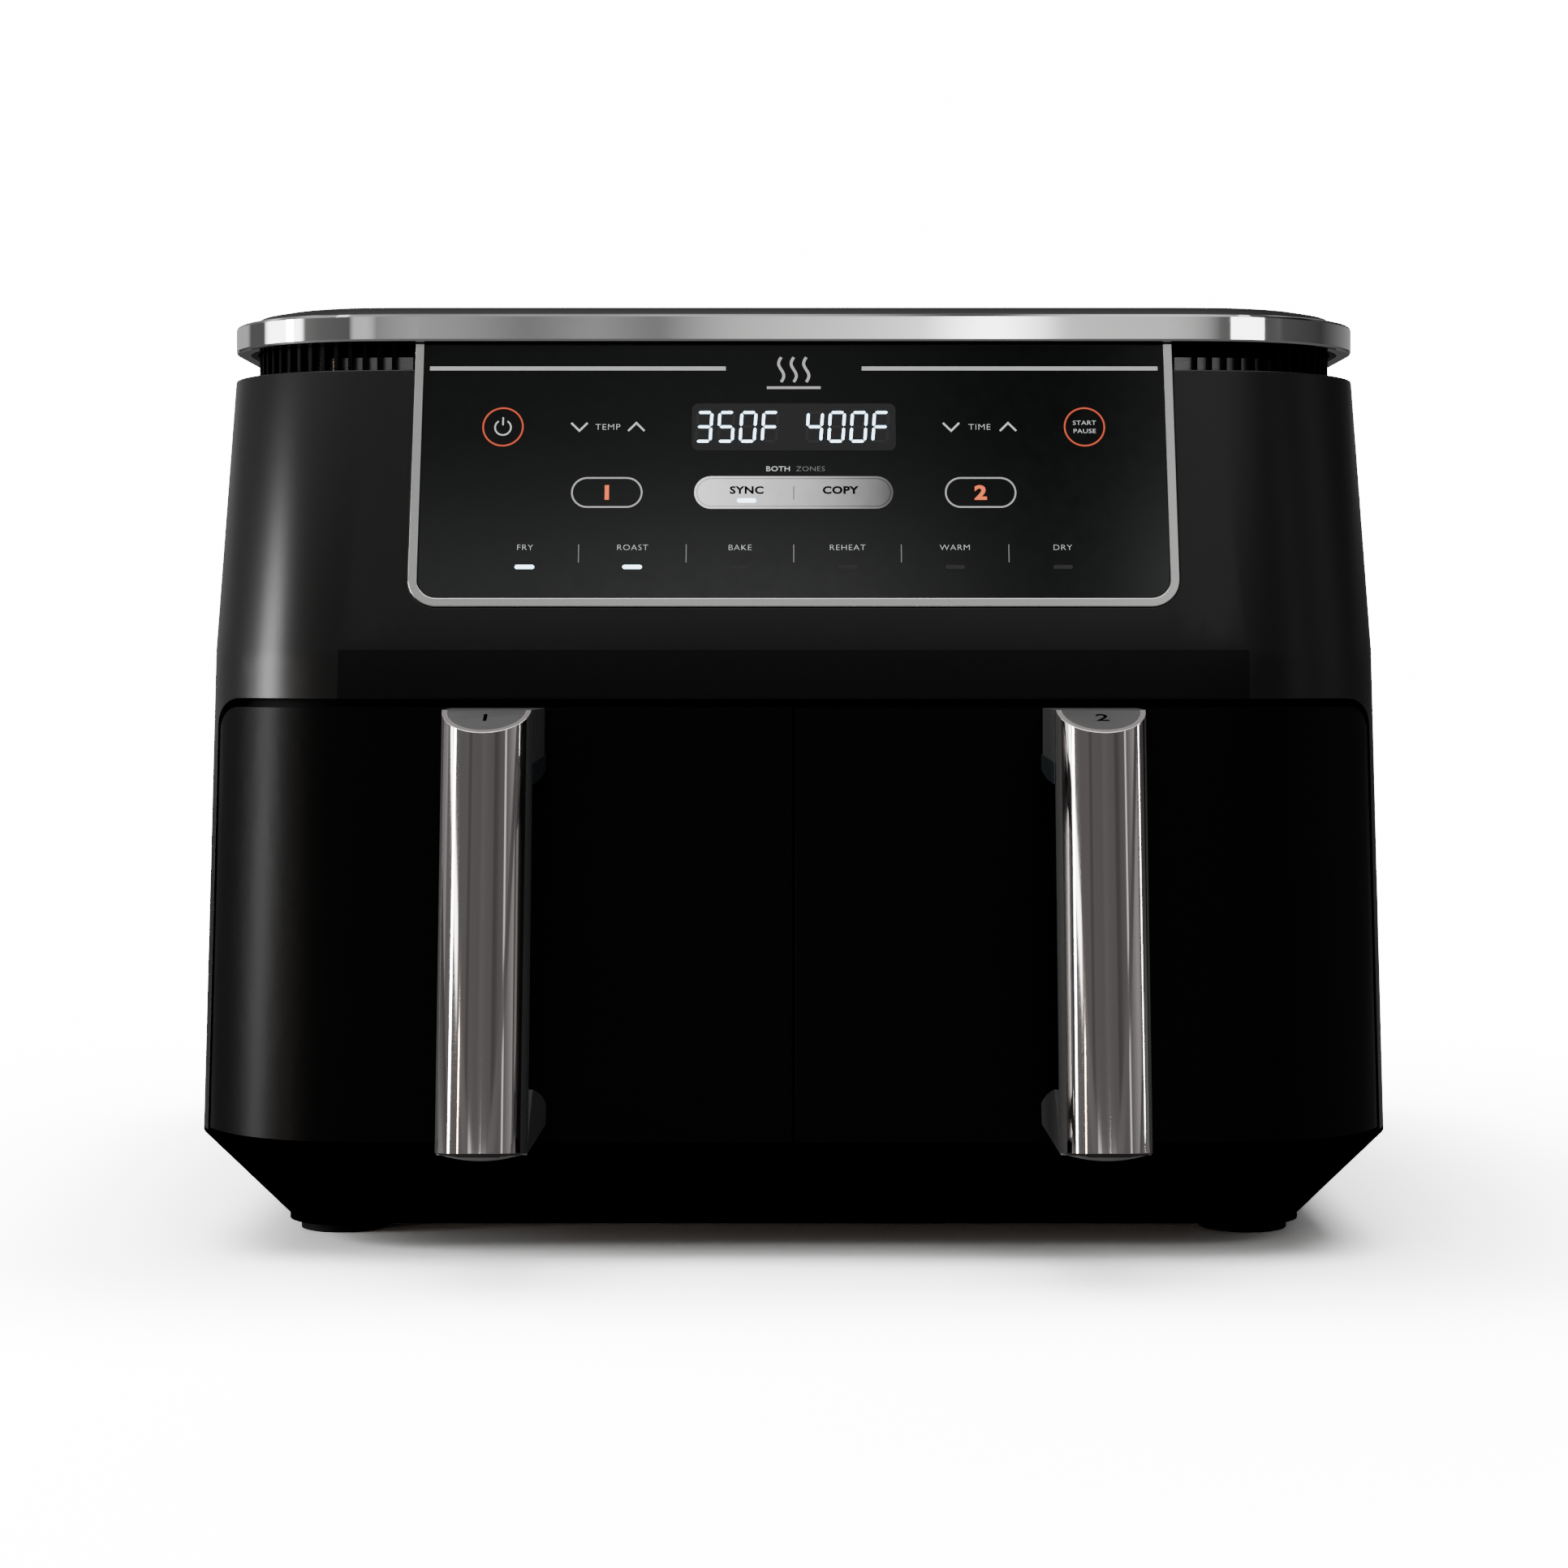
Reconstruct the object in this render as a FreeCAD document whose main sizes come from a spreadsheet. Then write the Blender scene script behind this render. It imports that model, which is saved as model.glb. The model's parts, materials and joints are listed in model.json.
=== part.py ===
import FreeCAD, Part
import math
import os
import re
import Sketcher

# Two-drawer air fryer.  Millimetres, X to the right seen from the front, front towards -Y, Z up.
# The origin lies on the standing surface, at the centre of the width and of the depth.

doc = FreeCAD.newDocument("air_fryer")
V = FreeCAD.Vector
X_AXIS = V(1, 0, 0)
Z_AXIS = V(0, 0, 1)

# ---------------------------------------------------------------- driving dimensions
sheet = doc.addObject("Spreadsheet::Sheet", "dims")
DIMENSIONS = {
    # casing
    "total_width": 397, "total_height": 314, "front_reach": 121, "rear_reach": 176,
    "base_bottom": 8.8, "base_top": 37.3, "base_inset": 28.5, "lip_height": 1.2,
    "crease_height": 197.5, "shell_top": 291.5, "top_inset": 2.3,
    "lean_low": 8, "lean_high": 15.5, "wall": 2.5,
    "flat_half": 125, "shoulder_radius": 190, "corner_radius": 56.5, "rear_corner": 45,
    # feet
    "foot_spread": 154, "foot_front": 46, "foot_rear": 130, "boss_radius": 18.8,
    "boss_bottom": 3.3, "foot_radius": 15,
    # vent and top
    "vent_height": 9.4, "ring_height": 9.5, "ring_front": 72, "ring_width": 5, "ring_edge": 1,
    "vent_inset": 8, "fin_pitch": 5, "fin_width": 1.5, "fin_depth": 3, "rail_height": 5.2,
    "crown_run": 9, "crown_height": 3.6, "cover_wall": 2.5,
    # control panel, measured up the slope from the crease
    "panel_half": 127, "panel_start": 14.6, "panel_corner": 9.5, "frame_width": 3,
    "frame_proud": 0.4, "glass_sunk": 0.3, "glass_gap": 0.1, "carrier_gap": 0.6,
    # drawer fronts
    "opening_half": 194, "opening_top": 181.3, "opening_corner": 9.5,
    "drawer_bottom": 39.8, "drawer_top": 178.6, "drawer_gap": 1.3, "centre_gap": 1.2,
    "drawer_corner": 8, "fascia_inset": 9.5, "fascia_thick": 2.5, "fascia_half": 190,
    "fascia_low": 39, "fascia_high": 186, "fascia_window": 176,
    # handles, measured up the slope from the widest line of the base
    "zone_centre": 96, "handle_reach": 55.85, "grip_width": 28, "grip_depth": 14.3, "core_width": 28,
    "grip_wall": 1.8, "core_depth": 5.7, "arm_height": 14.5, "handle_low": 43, "top_slant": 24,
    "arm_width": 27.4, "cap_height": 2.4, "arm_top": 60.5, "arm_drop": 48.4,
    "arm_root": 46, "arm_round": 6.3, "low_root_width": 35, "mount_width": 31.5,
    "root_width": 30.5, "arm_fall": 2, "mount_drop": 4, "mount_fall": 7,
    "mount_knee": 20, "mount_rise": 0.9,
    "screw_radius": 2, "screw_gap": 0.15, "screw_spread": 8, "screw_drop": 9,
    # cooking zones
    "zone_middle": 12, "liner_half": 88, "liner_front": 104, "liner_rear": 128,
    "liner_bottom": 42, "liner_top": 205, "liner_wall": 1.2, "runner_height": 2.5,
    "basket_half": 80, "basket_draft": 4, "basket_front": 94, "basket_rear": 118,
    "basket_top": 160, "basket_wall": 1.5, "basket_corner": 25, "rim_width": 4,
    "slide_gap": 0.3, "plate_rise": 13, "plate_thick": 1.5, "plate_gap": 3.2,
    "guard_height": 172, "wire_radius": 1.25, "heater_height": 181, "tube_radius": 3.25,
    "heater_ring": 60, "fan_bottom": 189, "fan_radius": 55, "fan_blade": 10, "hub_radius": 8,
    "cooler_radius": 40, "cooler_blade": 8, "cooler_bottom": 209.5, "shaft_radius": 3,
    "shaft_gap": 0.05, "bracket_height": 222, "bracket_thick": 2, "bracket_half": 50,
    "motor_radius": 32, "motor_height": 38,
    # circuit boards
    "board_half": 115, "board_thick": 1.6, "board_back": 8, "post_radius": 3, "post_inset": 7,
    "window_half": 44, "window_low": 60, "window_high": 82, "display_half": 41, "display_depth": 6,
    "power_half": 45, "power_low": 212, "power_high": 272, "power_back": 148,
    "pillar_half": 5, "pillar_out": 150, "pillar_in": 30, "pillar_front": 60, "pillar_rear": 110,
    # rear
    "cover_half": 144, "cover_low": 60, "cover_high": 270, "cover_lap": 8, "slot_length": 60,
    "slot_height": 4, "slot_pitch": 9, "gland_height": 84, "gland_bore": 3.6, "gland_across": 110,
}
for row, (alias, number) in enumerate(DIMENSIONS.items(), start=1):
    sheet.set(f"A{row}", alias)
    sheet.set(f"B{row}", str(number))
    sheet.setAlias(f"B{row}", alias)
doc.recompute()


SHEET_NAMES = {alias: "dims." + alias for alias in DIMENSIONS}


# ---------------------------------------------------------------- small helpers
def bound(text):
    """Turn words of an expression into references to the sheet."""
    return re.sub(r"[a-z_]+", lambda word: SHEET_NAMES.get(word.group(), word.group()), text)


def value(text):
    """Number that an expression stands for."""
    return float(sheet.evalExpression(bound(text)))


def bind(thing, **sizes):
    for name, text in sizes.items():
        thing.setExpression(name, bound(text))
    return thing


def place(thing, across="0", back="0", up="0"):
    thing.setExpression("Placement.Base.x", bound(across))
    thing.setExpression("Placement.Base.y", bound(back))
    thing.setExpression("Placement.Base.z", bound(up))
    return thing


def box(name, across, back, up):
    """Box between two expressions along each axis."""
    thing = doc.addObject("Part::Box", name)
    bind(thing, Length=f"( {across[1]} ) - ( {across[0]} )",
         Width=f"( {back[1]} ) - ( {back[0]} )",
         Height=f"( {up[1]} ) - ( {up[0]} )")
    return place(thing, across[0], back[0], up[0])


def cylinder(name, radius, height, across="0", back="0", up="0"):
    thing = bind(doc.addObject("Part::Cylinder", name), Radius=radius, Height=height)
    return place(thing, across, back, up)


def rod_back(name, radius, length, across, back, up):
    """Round rod that runs towards the rear."""
    thing = cylinder(name, radius, length, across, back, up)
    thing.Placement.Rotation = FreeCAD.Rotation(X_AXIS, -90)
    return thing


def cut(name, base, *tools):
    result = base
    for index, tool in enumerate(tools, start=1):
        step = doc.addObject("Part::Cut", f"{name}_cut{index}")
        step.Base = result
        step.Tool = tool
        result = step
    return result


def fuse(name, *shapes):
    result = doc.addObject("Part::MultiFuse", name + "_fuse")
    result.Shapes = list(shapes)
    result.Refine = True
    return result


def common(name, *shapes):
    result = doc.addObject("Part::MultiCommon", name + "_common")
    result.Shapes = list(shapes)
    return result


def group(name, *shapes):
    result = doc.addObject("Part::Compound", name + "_group")
    result.Links = list(shapes)
    return result


NODES = []


def node(label, thing):
    """Name a finished piece; the label is also the name of its file."""
    thing.Label = label
    NODES.append(thing)
    return thing


def extrude(name, sketch, height):
    thing = doc.addObject("Part::Extrusion", name)
    thing.Base = sketch
    thing.DirMode = "Normal"
    thing.Solid = True
    return bind(thing, LengthFwd=height)


def loft(name, *sketches):
    thing = doc.addObject("Part::Loft", name)
    thing.Sections = list(sketches)
    thing.Solid = True
    thing.Ruled = True
    return thing


def tilt(thing, angle):
    """Turn a piece about the X axis by an expression in degrees."""
    thing.Placement.Rotation = FreeCAD.Rotation(X_AXIS, value(angle))
    thing.setExpression("Placement.Rotation.Angle", bound(f"( {angle} ) * 1deg"))
    return thing


def leaning_frame(point, lean):
    """Settles pieces in a leaning frame: its third axis runs up the slope, its second one inwards."""
    def settle(thing):
        return place(tilt(thing, f"0 - {lean}"), *point)
    return settle


# ---------------------------------------------------------------- outlines
def outline(name, level, half, front, rear, flat, shoulder, corner, rear_corner):
    """Plan outline: flat front, gentle shoulders, round front corners, straight sides and rear."""
    h, f, r, fl = value(half), -value(front), value(rear), value(flat)
    rs, rc, rr = value(shoulder), value(corner), value(rear_corner)
    turn = math.asin((h - fl - rc) / (rs - rc))
    shoulder_y = f + rs
    corner_x = h - rc
    corner_y = shoulder_y - (rs - rc) * math.cos(turn)
    down = -math.pi / 2
    sketch = doc.addObject("Sketcher::SketchObject", name)

    def arc(cx, cy, radius, start, end):
        circle = Part.Circle(V(cx, cy, 0), Z_AXIS, radius)
        sketch.addGeometry(Part.ArcOfCircle(circle, start, end))

    def line(x1, y1, x2, y2):
        sketch.addGeometry(Part.LineSegment(V(x1, y1, 0), V(x2, y2, 0)))

    line(-fl, f, fl, f)
    arc(fl, shoulder_y, rs, down, down + turn)
    arc(corner_x, corner_y, rc, down + turn, 0)
    line(h, corner_y, h, r - rr)
    arc(h - rr, r - rr, rr, 0, math.pi / 2)
    line(h - rr, r, rr - h, r)
    arc(rr - h, r - rr, rr, math.pi / 2, math.pi)
    line(-h, r - rr, -h, corner_y)
    arc(-corner_x, corner_y, rc, math.pi, math.pi - down - turn)
    arc(-fl, shoulder_y, rs, down - turn, down)
    front_line, shoulder_arc, corner_arc, side, rear_arc, rear_line = range(6)
    other_rear, other_side, other_corner, other_shoulder = range(6, 10)
    rule = Sketcher.Constraint
    for index in range(10):
        sketch.addConstraint(rule("Tangent", index, 2, (index + 1) % 10, 1))
    sketch.addConstraint(rule("Horizontal", front_line))
    sketch.addConstraint(rule("Horizontal", rear_line))
    sketch.addConstraint(rule("Vertical", side))
    sketch.addConstraint(rule("Vertical", other_side))
    sketch.addConstraint(rule("Equal", shoulder_arc, other_shoulder))
    sketch.addConstraint(rule("Equal", corner_arc, other_corner))
    sketch.addConstraint(rule("Equal", rear_arc, other_rear))

    def named(label, constraint, text):
        sketch.renameConstraint(sketch.addConstraint(constraint), label)
        sketch.setExpression("Constraints." + label, bound(text))

    named("shoulder", rule("Radius", shoulder_arc, rs), shoulder)
    named("corner", rule("Radius", corner_arc, rc), corner)
    named("rear_corner", rule("Radius", rear_arc, rr), rear_corner)
    named("flat_right", rule("DistanceX", -1, 1, front_line, 2, fl), flat)
    named("flat_left", rule("DistanceX", front_line, 1, -1, 1, fl), flat)
    named("half_right", rule("DistanceX", -1, 1, side, 1, h), half)
    named("half_left", rule("DistanceX", other_side, 1, -1, 1, h), half)
    named("front", rule("DistanceY", front_line, 1, -1, 1, -f), front)
    named("rear", rule("DistanceY", -1, 1, rear_line, 1, r), rear)
    return place(sketch, up=level)


LOW_FRONT = "front_reach - ( {0} - base_top ) * tan( lean_low * 1deg )"
CREASE_FRONT = "front_reach - ( crease_height - base_top ) * tan( lean_low * 1deg )"
HIGH_FRONT = CREASE_FRONT + " - ( {0} - crease_height ) * tan( lean_high * 1deg )"


def casing(name, level, inset, lean, narrowing="0"):
    """Outline of the casing at a level, moved in by an inset.  lean is the front's rule there."""
    return outline(name, level, f"total_width / 2 - ( {inset} ) - ( {narrowing} )",
                   f"{lean.format(level)} - ( {inset} )",
                   f"rear_reach - ( {inset} )",
                   "flat_half", f"shoulder_radius - ( {inset} )", f"corner_radius - ( {inset} )",
                   f"rear_corner - ( {inset} )")


def casing_body(name, inset, roof):
    """Upper casing volume, moved in by an inset and closed at the roof level."""
    return loft(name,
                casing(name + "_low", "base_top + lip_height", inset, LOW_FRONT),
                casing(name + "_crease", "crease_height", inset, LOW_FRONT),
                casing(name + "_top", roof, inset, HIGH_FRONT, "top_inset"))


def rounded_box(name, level, centre, half, front, rear, corner):
    """Rounded rectangle in plan, about a centre line at the side of the origin."""
    c, h, f, r, rad = value(centre), value(half), value(front), value(rear), value(corner)
    sketch = doc.addObject("Sketcher::SketchObject", name)

    def arc(cx, cy, start):
        circle = Part.Circle(V(cx, cy, 0), Z_AXIS, rad)
        sketch.addGeometry(Part.ArcOfCircle(circle, start, start + math.pi / 2))

    def line(x1, y1, x2, y2):
        sketch.addGeometry(Part.LineSegment(V(x1, y1, 0), V(x2, y2, 0)))

    line(-h + rad, f, h - rad, f)
    arc(h - rad, f + rad, -math.pi / 2)
    line(h, f + rad, h, r - rad)
    arc(h - rad, r - rad, 0)
    line(h - rad, r, -h + rad, r)
    arc(-h + rad, r - rad, math.pi / 2)
    line(-h, r - rad, -h, f + rad)
    arc(-h + rad, f + rad, math.pi)
    rule = Sketcher.Constraint
    for index in range(8):
        sketch.addConstraint(rule("Tangent", index, 2, (index + 1) % 8, 1))
    sketch.addConstraint(rule("Horizontal", 0))
    sketch.addConstraint(rule("Horizontal", 4))
    sketch.addConstraint(rule("Vertical", 2))
    sketch.addConstraint(rule("Vertical", 6))
    for index in (3, 5, 7):
        sketch.addConstraint(rule("Equal", 1, index))

    def named(label, constraint, text):
        sketch.renameConstraint(sketch.addConstraint(constraint), label)
        sketch.setExpression("Constraints." + label, bound(text))

    named("corner", rule("Radius", 1, rad), corner)
    named("half_right", rule("DistanceX", -1, 1, 2, 1, h), half)
    named("half_left", rule("DistanceX", 6, 1, -1, 1, h), half)
    named("front", rule("DistanceY", -1, 1, 0, 1, f), front)
    named("rear", rule("DistanceY", -1, 1, 4, 1, r), rear)
    return place(sketch, across=centre, up=level)


# ---------------------------------------------------------------- casing volumes
outer_body = casing_body("outer_body", "0", "shell_top")
inner_body = casing_body("inner_body", "wall", "shell_top - wall")

leaning = leaning_frame(("0", "0 - ( " + CREASE_FRONT + " )", "crease_height"), "lean_high")
PANEL_LENGTH = ("( shell_top + vent_height - 0.5 - crease_height ) / cos( lean_high * 1deg ) "
                "- panel_start")


def panel_profile(name, inset, depth, start, up_to=PANEL_LENGTH):
    """Upright rounded U-shaped slab in the panel's own leaning frame."""
    half = f"panel_half - ( {inset} )"
    radius = f"panel_corner - ( {inset} )"
    low = box(name + "_low", (f"0 - ( {half} ) + {radius}", f"{half} - ( {radius} )"),
              (start, f"{start} + {depth}"), (f"panel_start + {inset}", f"panel_start + {up_to}"))
    wide = box(name + "_wide", (f"0 - ( {half} )", half), (start, f"{start} + {depth}"),
               ("panel_start + panel_corner", f"panel_start + {up_to}"))
    discs = []
    for side, word in (("-1", "left"), ("1", "right")):
        disc = rod_back(f"{name}_{word}", radius, depth,
                        f"{side} * ( panel_half - panel_corner )", start,
                        "panel_start + panel_corner")
        discs.append(disc)
    slab = fuse(name, low, wide, *discs)
    return slab


# ---------------------------------------------------------------- housing shell
skin = cut("skin", outer_body, inner_body)
opening = box("opening_flat", ("0 - opening_half", "opening_half"), ("-200", "-50"),
              ("base_top", "opening_top - opening_corner"))
opening_roof = box("opening_roof", ("0 - opening_half + opening_corner",
                                    "opening_half - opening_corner"), ("-200", "-50"),
                   ("base_top", "opening_top"))
opening_corners = [rod_back(f"opening_corner_{word}", "opening_corner", "150",
                            f"{side} * ( opening_half - opening_corner )", "-200",
                            "opening_top - opening_corner")
                   for side, word in (("-1", "left"), ("1", "right"))]
mouth = fuse("mouth", opening, opening_roof, *opening_corners)
panel_hole = leaning(panel_profile("panel_hole", "0 - glass_gap", "30", "-15", "130"))
rear_hole = box("rear_hole", ("0 - cover_half", "cover_half"), ("rear_reach - 10", "rear_reach + 5"),
                ("cover_low", "cover_high"))
roof_hole_sketch = outline("roof_hole_sketch", "shell_top - 2 * wall",
                           "total_width / 2 - top_inset - vent_inset - 10",
                           "ring_front - vent_inset - 10", "rear_reach - top_inset - vent_inset - 10",
                           "flat_half", "shoulder_radius - vent_inset - 10",
                           "corner_radius - vent_inset - 10", "rear_corner - vent_inset - 10")
roof_hole = extrude("roof_hole", roof_hole_sketch, "3 * wall")
node("housing_shell", cut("housing_shell", skin, mouth, panel_hole, rear_hole, roof_hole))


# ---------------------------------------------------------------- base pan and feet
def base_volume(name, inset, bottom):
    return loft(name,
                casing(name + "_low", bottom, f"base_inset + {inset}", "front_reach"),
                casing(name + "_wide", "base_top", inset, "front_reach"),
                casing(name + "_lip", "base_top + lip_height", inset, "front_reach"))


base_outer = base_volume("base_outer", "0", "base_bottom")
base_inner = base_volume("base_inner", "wall", "base_bottom + wall")
FEET = [(side, back) for side in ("-1", "1") for back in ("0 - foot_front", "foot_rear")]
bosses = [cylinder(f"boss_{index}", "boss_radius", "base_bottom + wall - boss_bottom",
                   f"{side} * foot_spread", back, "boss_bottom")
          for index, (side, back) in enumerate(FEET, start=1)]
PILLARS = [(x, y) for x in ("0 - pillar_out", "0 - pillar_in", "pillar_in", "pillar_out")
           for y in ("0 - pillar_front", "pillar_rear")]
pillars = [box(f"pillar_{index}", (f"{x} - pillar_half", f"{x} + pillar_half"),
               (f"{y} - pillar_half", f"{y} + pillar_half"), ("base_bottom + wall / 2", "liner_bottom"))
           for index, (x, y) in enumerate(PILLARS, start=1)]
node("base_pan", fuse("base_pan", cut("base_pan", base_outer, base_inner), *bosses, *pillars))
pads = []
for index, (side, back) in enumerate(FEET, start=1):
    pads.append(cylinder(f"pad_{index}", "foot_radius", "boss_bottom", f"{side} * foot_spread", back))
node("feet", group("feet", *pads))


# ---------------------------------------------------------------- vent band, ring and top cover
def top_outline(name, level, inset):
    return outline(name, level, f"total_width / 2 - top_inset - ( {inset} )",
                   f"ring_front - ( {inset} )", f"rear_reach - top_inset - ( {inset} )",
                   "flat_half", f"shoulder_radius - ( {inset} )", f"corner_radius - ( {inset} )",
                   f"rear_corner - ( {inset} )")


def band(name, near, thick, height):
    """Upright wall that follows the top outline at an inset, open where the panel stands."""
    outside = extrude(name + "_outside", top_outline(name + "_a", "shell_top", near), height)
    inside = extrude(name + "_inside", top_outline(name + "_b", "shell_top - 1", f"{near} + {thick}"),
                     f"{height} + 2")
    notch = box(name + "_notch", ("0 - panel_half - 2", "panel_half + 2"),
                ("-100", "30 - ring_front"), ("shell_top - 2", "shell_top + 20"))
    return cut(name, outside, inside, notch)


RAIL_INSET = "vent_inset + fin_depth"
node("vent_rail", band("vent_rail", RAIL_INSET, "2", "rail_height"))
node("vent_band", band("vent_band", RAIL_INSET + " + 2", "2", "vent_height"))


def fin_places():
    """Points and outward directions at the fin pitch along the vent outline, clear of the panel."""
    path_sketch = top_outline("fin_path", "shell_top", "vent_inset + fin_depth / 2")
    doc.recompute()
    wire = path_sketch.Shape.Wires[0]
    pitch = value("fin_pitch")
    count = int(wire.Length / pitch)
    points = wire.discretize(Number=count + 1)[:-1]
    clear = value("panel_half") + 4
    for index, point in enumerate(points):
        ahead = points[(index + 1) % count]
        behind = points[index - 1]
        along = (ahead - behind).normalize()
        if point.y > 0 or abs(point.x) > clear:
            yield point, math.degrees(math.atan2(along.y, along.x))


fin_width, fin_depth, fin_height = value("fin_width"), value("fin_depth"), value("vent_height")
fins = []
for point, angle in fin_places():
    fin = Part.makeBox(fin_width, fin_depth, fin_height, V(-fin_width / 2, -fin_depth / 2, 0))
    fin.rotate(V(0, 0, 0), Z_AXIS, angle)
    fin.translate(point)
    fins.append(fin)
vent_fins = doc.addObject("Part::Feature", "vent_fins")
vent_fins.Shape = Part.makeCompound(fins)
node("vent_fins", vent_fins)

RING_BOTTOM = "shell_top + vent_height"
RING_TOP = RING_BOTTOM + " + ring_height"
ring_outer = loft("ring_outer",
                  top_outline("ring_1", RING_BOTTOM, "ring_edge"),
                  top_outline("ring_2", RING_BOTTOM + " + ring_edge * 0.3", "ring_edge * 0.3"),
                  top_outline("ring_3", RING_BOTTOM + " + ring_edge", "0"),
                  top_outline("ring_4", RING_TOP + " - ring_edge", "0"),
                  top_outline("ring_5", RING_TOP + " - ring_edge * 0.3", "ring_edge * 0.3"),
                  top_outline("ring_6", RING_TOP, "ring_edge"))
ring_inner = extrude("ring_inner", top_outline("ring_7", RING_BOTTOM + " - 1", "ring_width"),
                     "ring_height + 2")
node("trim_ring", cut("trim_ring", ring_outer, ring_inner))

COVER_INSET = "ring_width + glass_gap"
cover_outer = loft("cover_outer",
                   top_outline("cover_1", RING_BOTTOM, COVER_INSET),
                   top_outline("cover_2", "total_height - crown_height", COVER_INSET),
                   top_outline("cover_3", "total_height - crown_height / 3",
                               COVER_INSET + " + crown_run / 3"),
                   top_outline("cover_4", "total_height", COVER_INSET + " + crown_run"))
INNER_COVER = COVER_INSET + " + cover_wall"
cover_inner = loft("cover_inner",
                   top_outline("cover_5", RING_BOTTOM + " - 1", INNER_COVER),
                   top_outline("cover_6", "total_height - crown_height - cover_wall", INNER_COVER),
                   top_outline("cover_7", "total_height - cover_wall", INNER_COVER + " + crown_run"))
node("top_cover", cut("top_cover", cover_outer, cover_inner))

# ---------------------------------------------------------------- control panel
CARRIER_FACE = "wall + carrier_gap"
frame_outer = panel_profile("frame_outer", "0", CARRIER_FACE + " + frame_proud", "0 - frame_proud")
frame_inner = panel_profile("frame_inner", "frame_width", "wall * 3", "0 - wall", "140")
node("panel_frame", leaning(cut("panel_frame", frame_outer, frame_inner)))
node("panel_glass", leaning(panel_profile("panel_glass", "frame_width + glass_gap",
                                          CARRIER_FACE + " - glass_sunk", "glass_sunk")))
carrier_plate = box("carrier_plate", ("0 - panel_half - 2", "panel_half + 2"),
                    (CARRIER_FACE, CARRIER_FACE + " + 2"), ("panel_start - 3", "panel_start + 78"))
carrier_window = box("carrier_window", ("0 - window_half", "window_half"), ("0", "20"),
                     ("window_low", "window_high"))
node("panel_carrier", leaning(cut("panel_carrier", carrier_plate, carrier_window)))
display_box = box("display_box", ("0 - display_half", "display_half"),
                  (CARRIER_FACE, CARRIER_FACE + " + display_depth"), ("window_low + 2", "window_high - 2"))
node("display_module", leaning(group("display_module", display_box)))
BOARD_FRONT = "wall + board_back"
BOARD_REAR = BOARD_FRONT + " + board_thick"
BOARD_LOW = "panel_start + 2"
BOARD_HIGH = "panel_start + 72"
board_plate = box("board_plate", ("0 - board_half", "board_half"), (BOARD_FRONT, BOARD_REAR),
                  (BOARD_LOW, BOARD_HIGH))
BOARD_POSTS = [(f"{side} * ( board_half - post_inset )", up) for side in ("-1", "1")
               for up in (BOARD_LOW + " + post_inset", BOARD_HIGH + " - post_inset")]
board_posts = [rod_back(f"board_post_{index}", "post_radius", "board_back - 2 - carrier_gap", x,
                        CARRIER_FACE + " + 2", z) for index, (x, z) in enumerate(BOARD_POSTS, start=1)]
board_chip = box("board_chip", ("-12", "12"), (BOARD_REAR, BOARD_REAR + " + 2.4"),
                 (BOARD_LOW + " + 24", BOARD_LOW + " + 44"))
board_plug = box("board_plug", ("60", "92"), (BOARD_REAR, BOARD_REAR + " + 8.4"),
                 (BOARD_LOW + " + 14", BOARD_LOW + " + 22"))
node("control_board", leaning(fuse("control_board", board_plate, *board_posts, board_chip, board_plug)))

# ---------------------------------------------------------------- rear cover, gland and power board
INNER_REAR = "rear_reach - wall"
body = doc.addObject("PartDesign::Body", "rear_cover_body")
plane = [item for item in body.Origin.OriginFeatures if item.Role == "XZ_Plane"][0]


def plate_sketch(name, left, right, low, high):
    """Upright rectangle on the cover's own plane."""
    sketch = body.newObject("Sketcher::SketchObject", name)
    sketch.AttachmentSupport = [(plane, "")]
    sketch.MapMode = "FlatFace"
    corners = [(left, low), (right, low), (right, high), (left, high)]
    spots = [V(value(x), value(z), 0) for x, z in corners]
    for index in range(4):
        sketch.addGeometry(Part.LineSegment(spots[index], spots[(index + 1) % 4]))
    rule = Sketcher.Constraint
    for index in range(4):
        sketch.addConstraint(rule("Coincident", index, 2, (index + 1) % 4, 1))
    sketch.addConstraint(rule("Horizontal", 0))
    sketch.addConstraint(rule("Horizontal", 2))
    sketch.addConstraint(rule("Vertical", 1))
    sketch.addConstraint(rule("Vertical", 3))
    for label, kind, index, text in (("left", "DistanceX", 0, left), ("right", "DistanceX", 1, right),
                                     ("low", "DistanceY", 0, low), ("high", "DistanceY", 2, high)):
        spot = spots[index].x if kind == "DistanceX" else spots[index].y
        sketch.renameConstraint(sketch.addConstraint(rule(kind, -1, 1, index, 1, spot)), label)
        sketch.setExpression("Constraints." + label, bound(text))
    return sketch


pad = body.newObject("PartDesign::Pad", "cover_pad")
pad.Profile = plate_sketch("cover_sketch", "0 - cover_half - cover_lap", "cover_half + cover_lap",
                           "cover_low - cover_lap", "cover_high + cover_lap")
bind(pad, Length="wall")
doc.recompute()
solid_volume = pad.Shape.Volume
slot = body.newObject("PartDesign::Pocket", "exhaust_slot")
slot.Profile = plate_sketch("slot_sketch", "zone_centre - slot_length / 2", "zone_centre + slot_length / 2",
                            "cover_high - 20 - slot_height", "cover_high - 20")
slot.Type = "ThroughAll"
slot.Midplane = True
doc.recompute()
pattern = body.newObject("PartDesign::MultiTransform", "slot_pattern")
pattern.Originals = [slot]
down = body.newObject("PartDesign::LinearPattern", "slots_down")
down.Direction = (slot.Profile[0], ["V_Axis"])
down.Reversed = True
down.Occurrences = 8
bind(down, Length="slot_pitch * 7")
aside = body.newObject("PartDesign::LinearPattern", "slots_aside")
aside.Direction = (slot.Profile[0], ["H_Axis"])
aside.Reversed = True
aside.Occurrences = 2
bind(aside, Length="zone_centre * 2")
pattern.Transformations = [down, aside]
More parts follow.
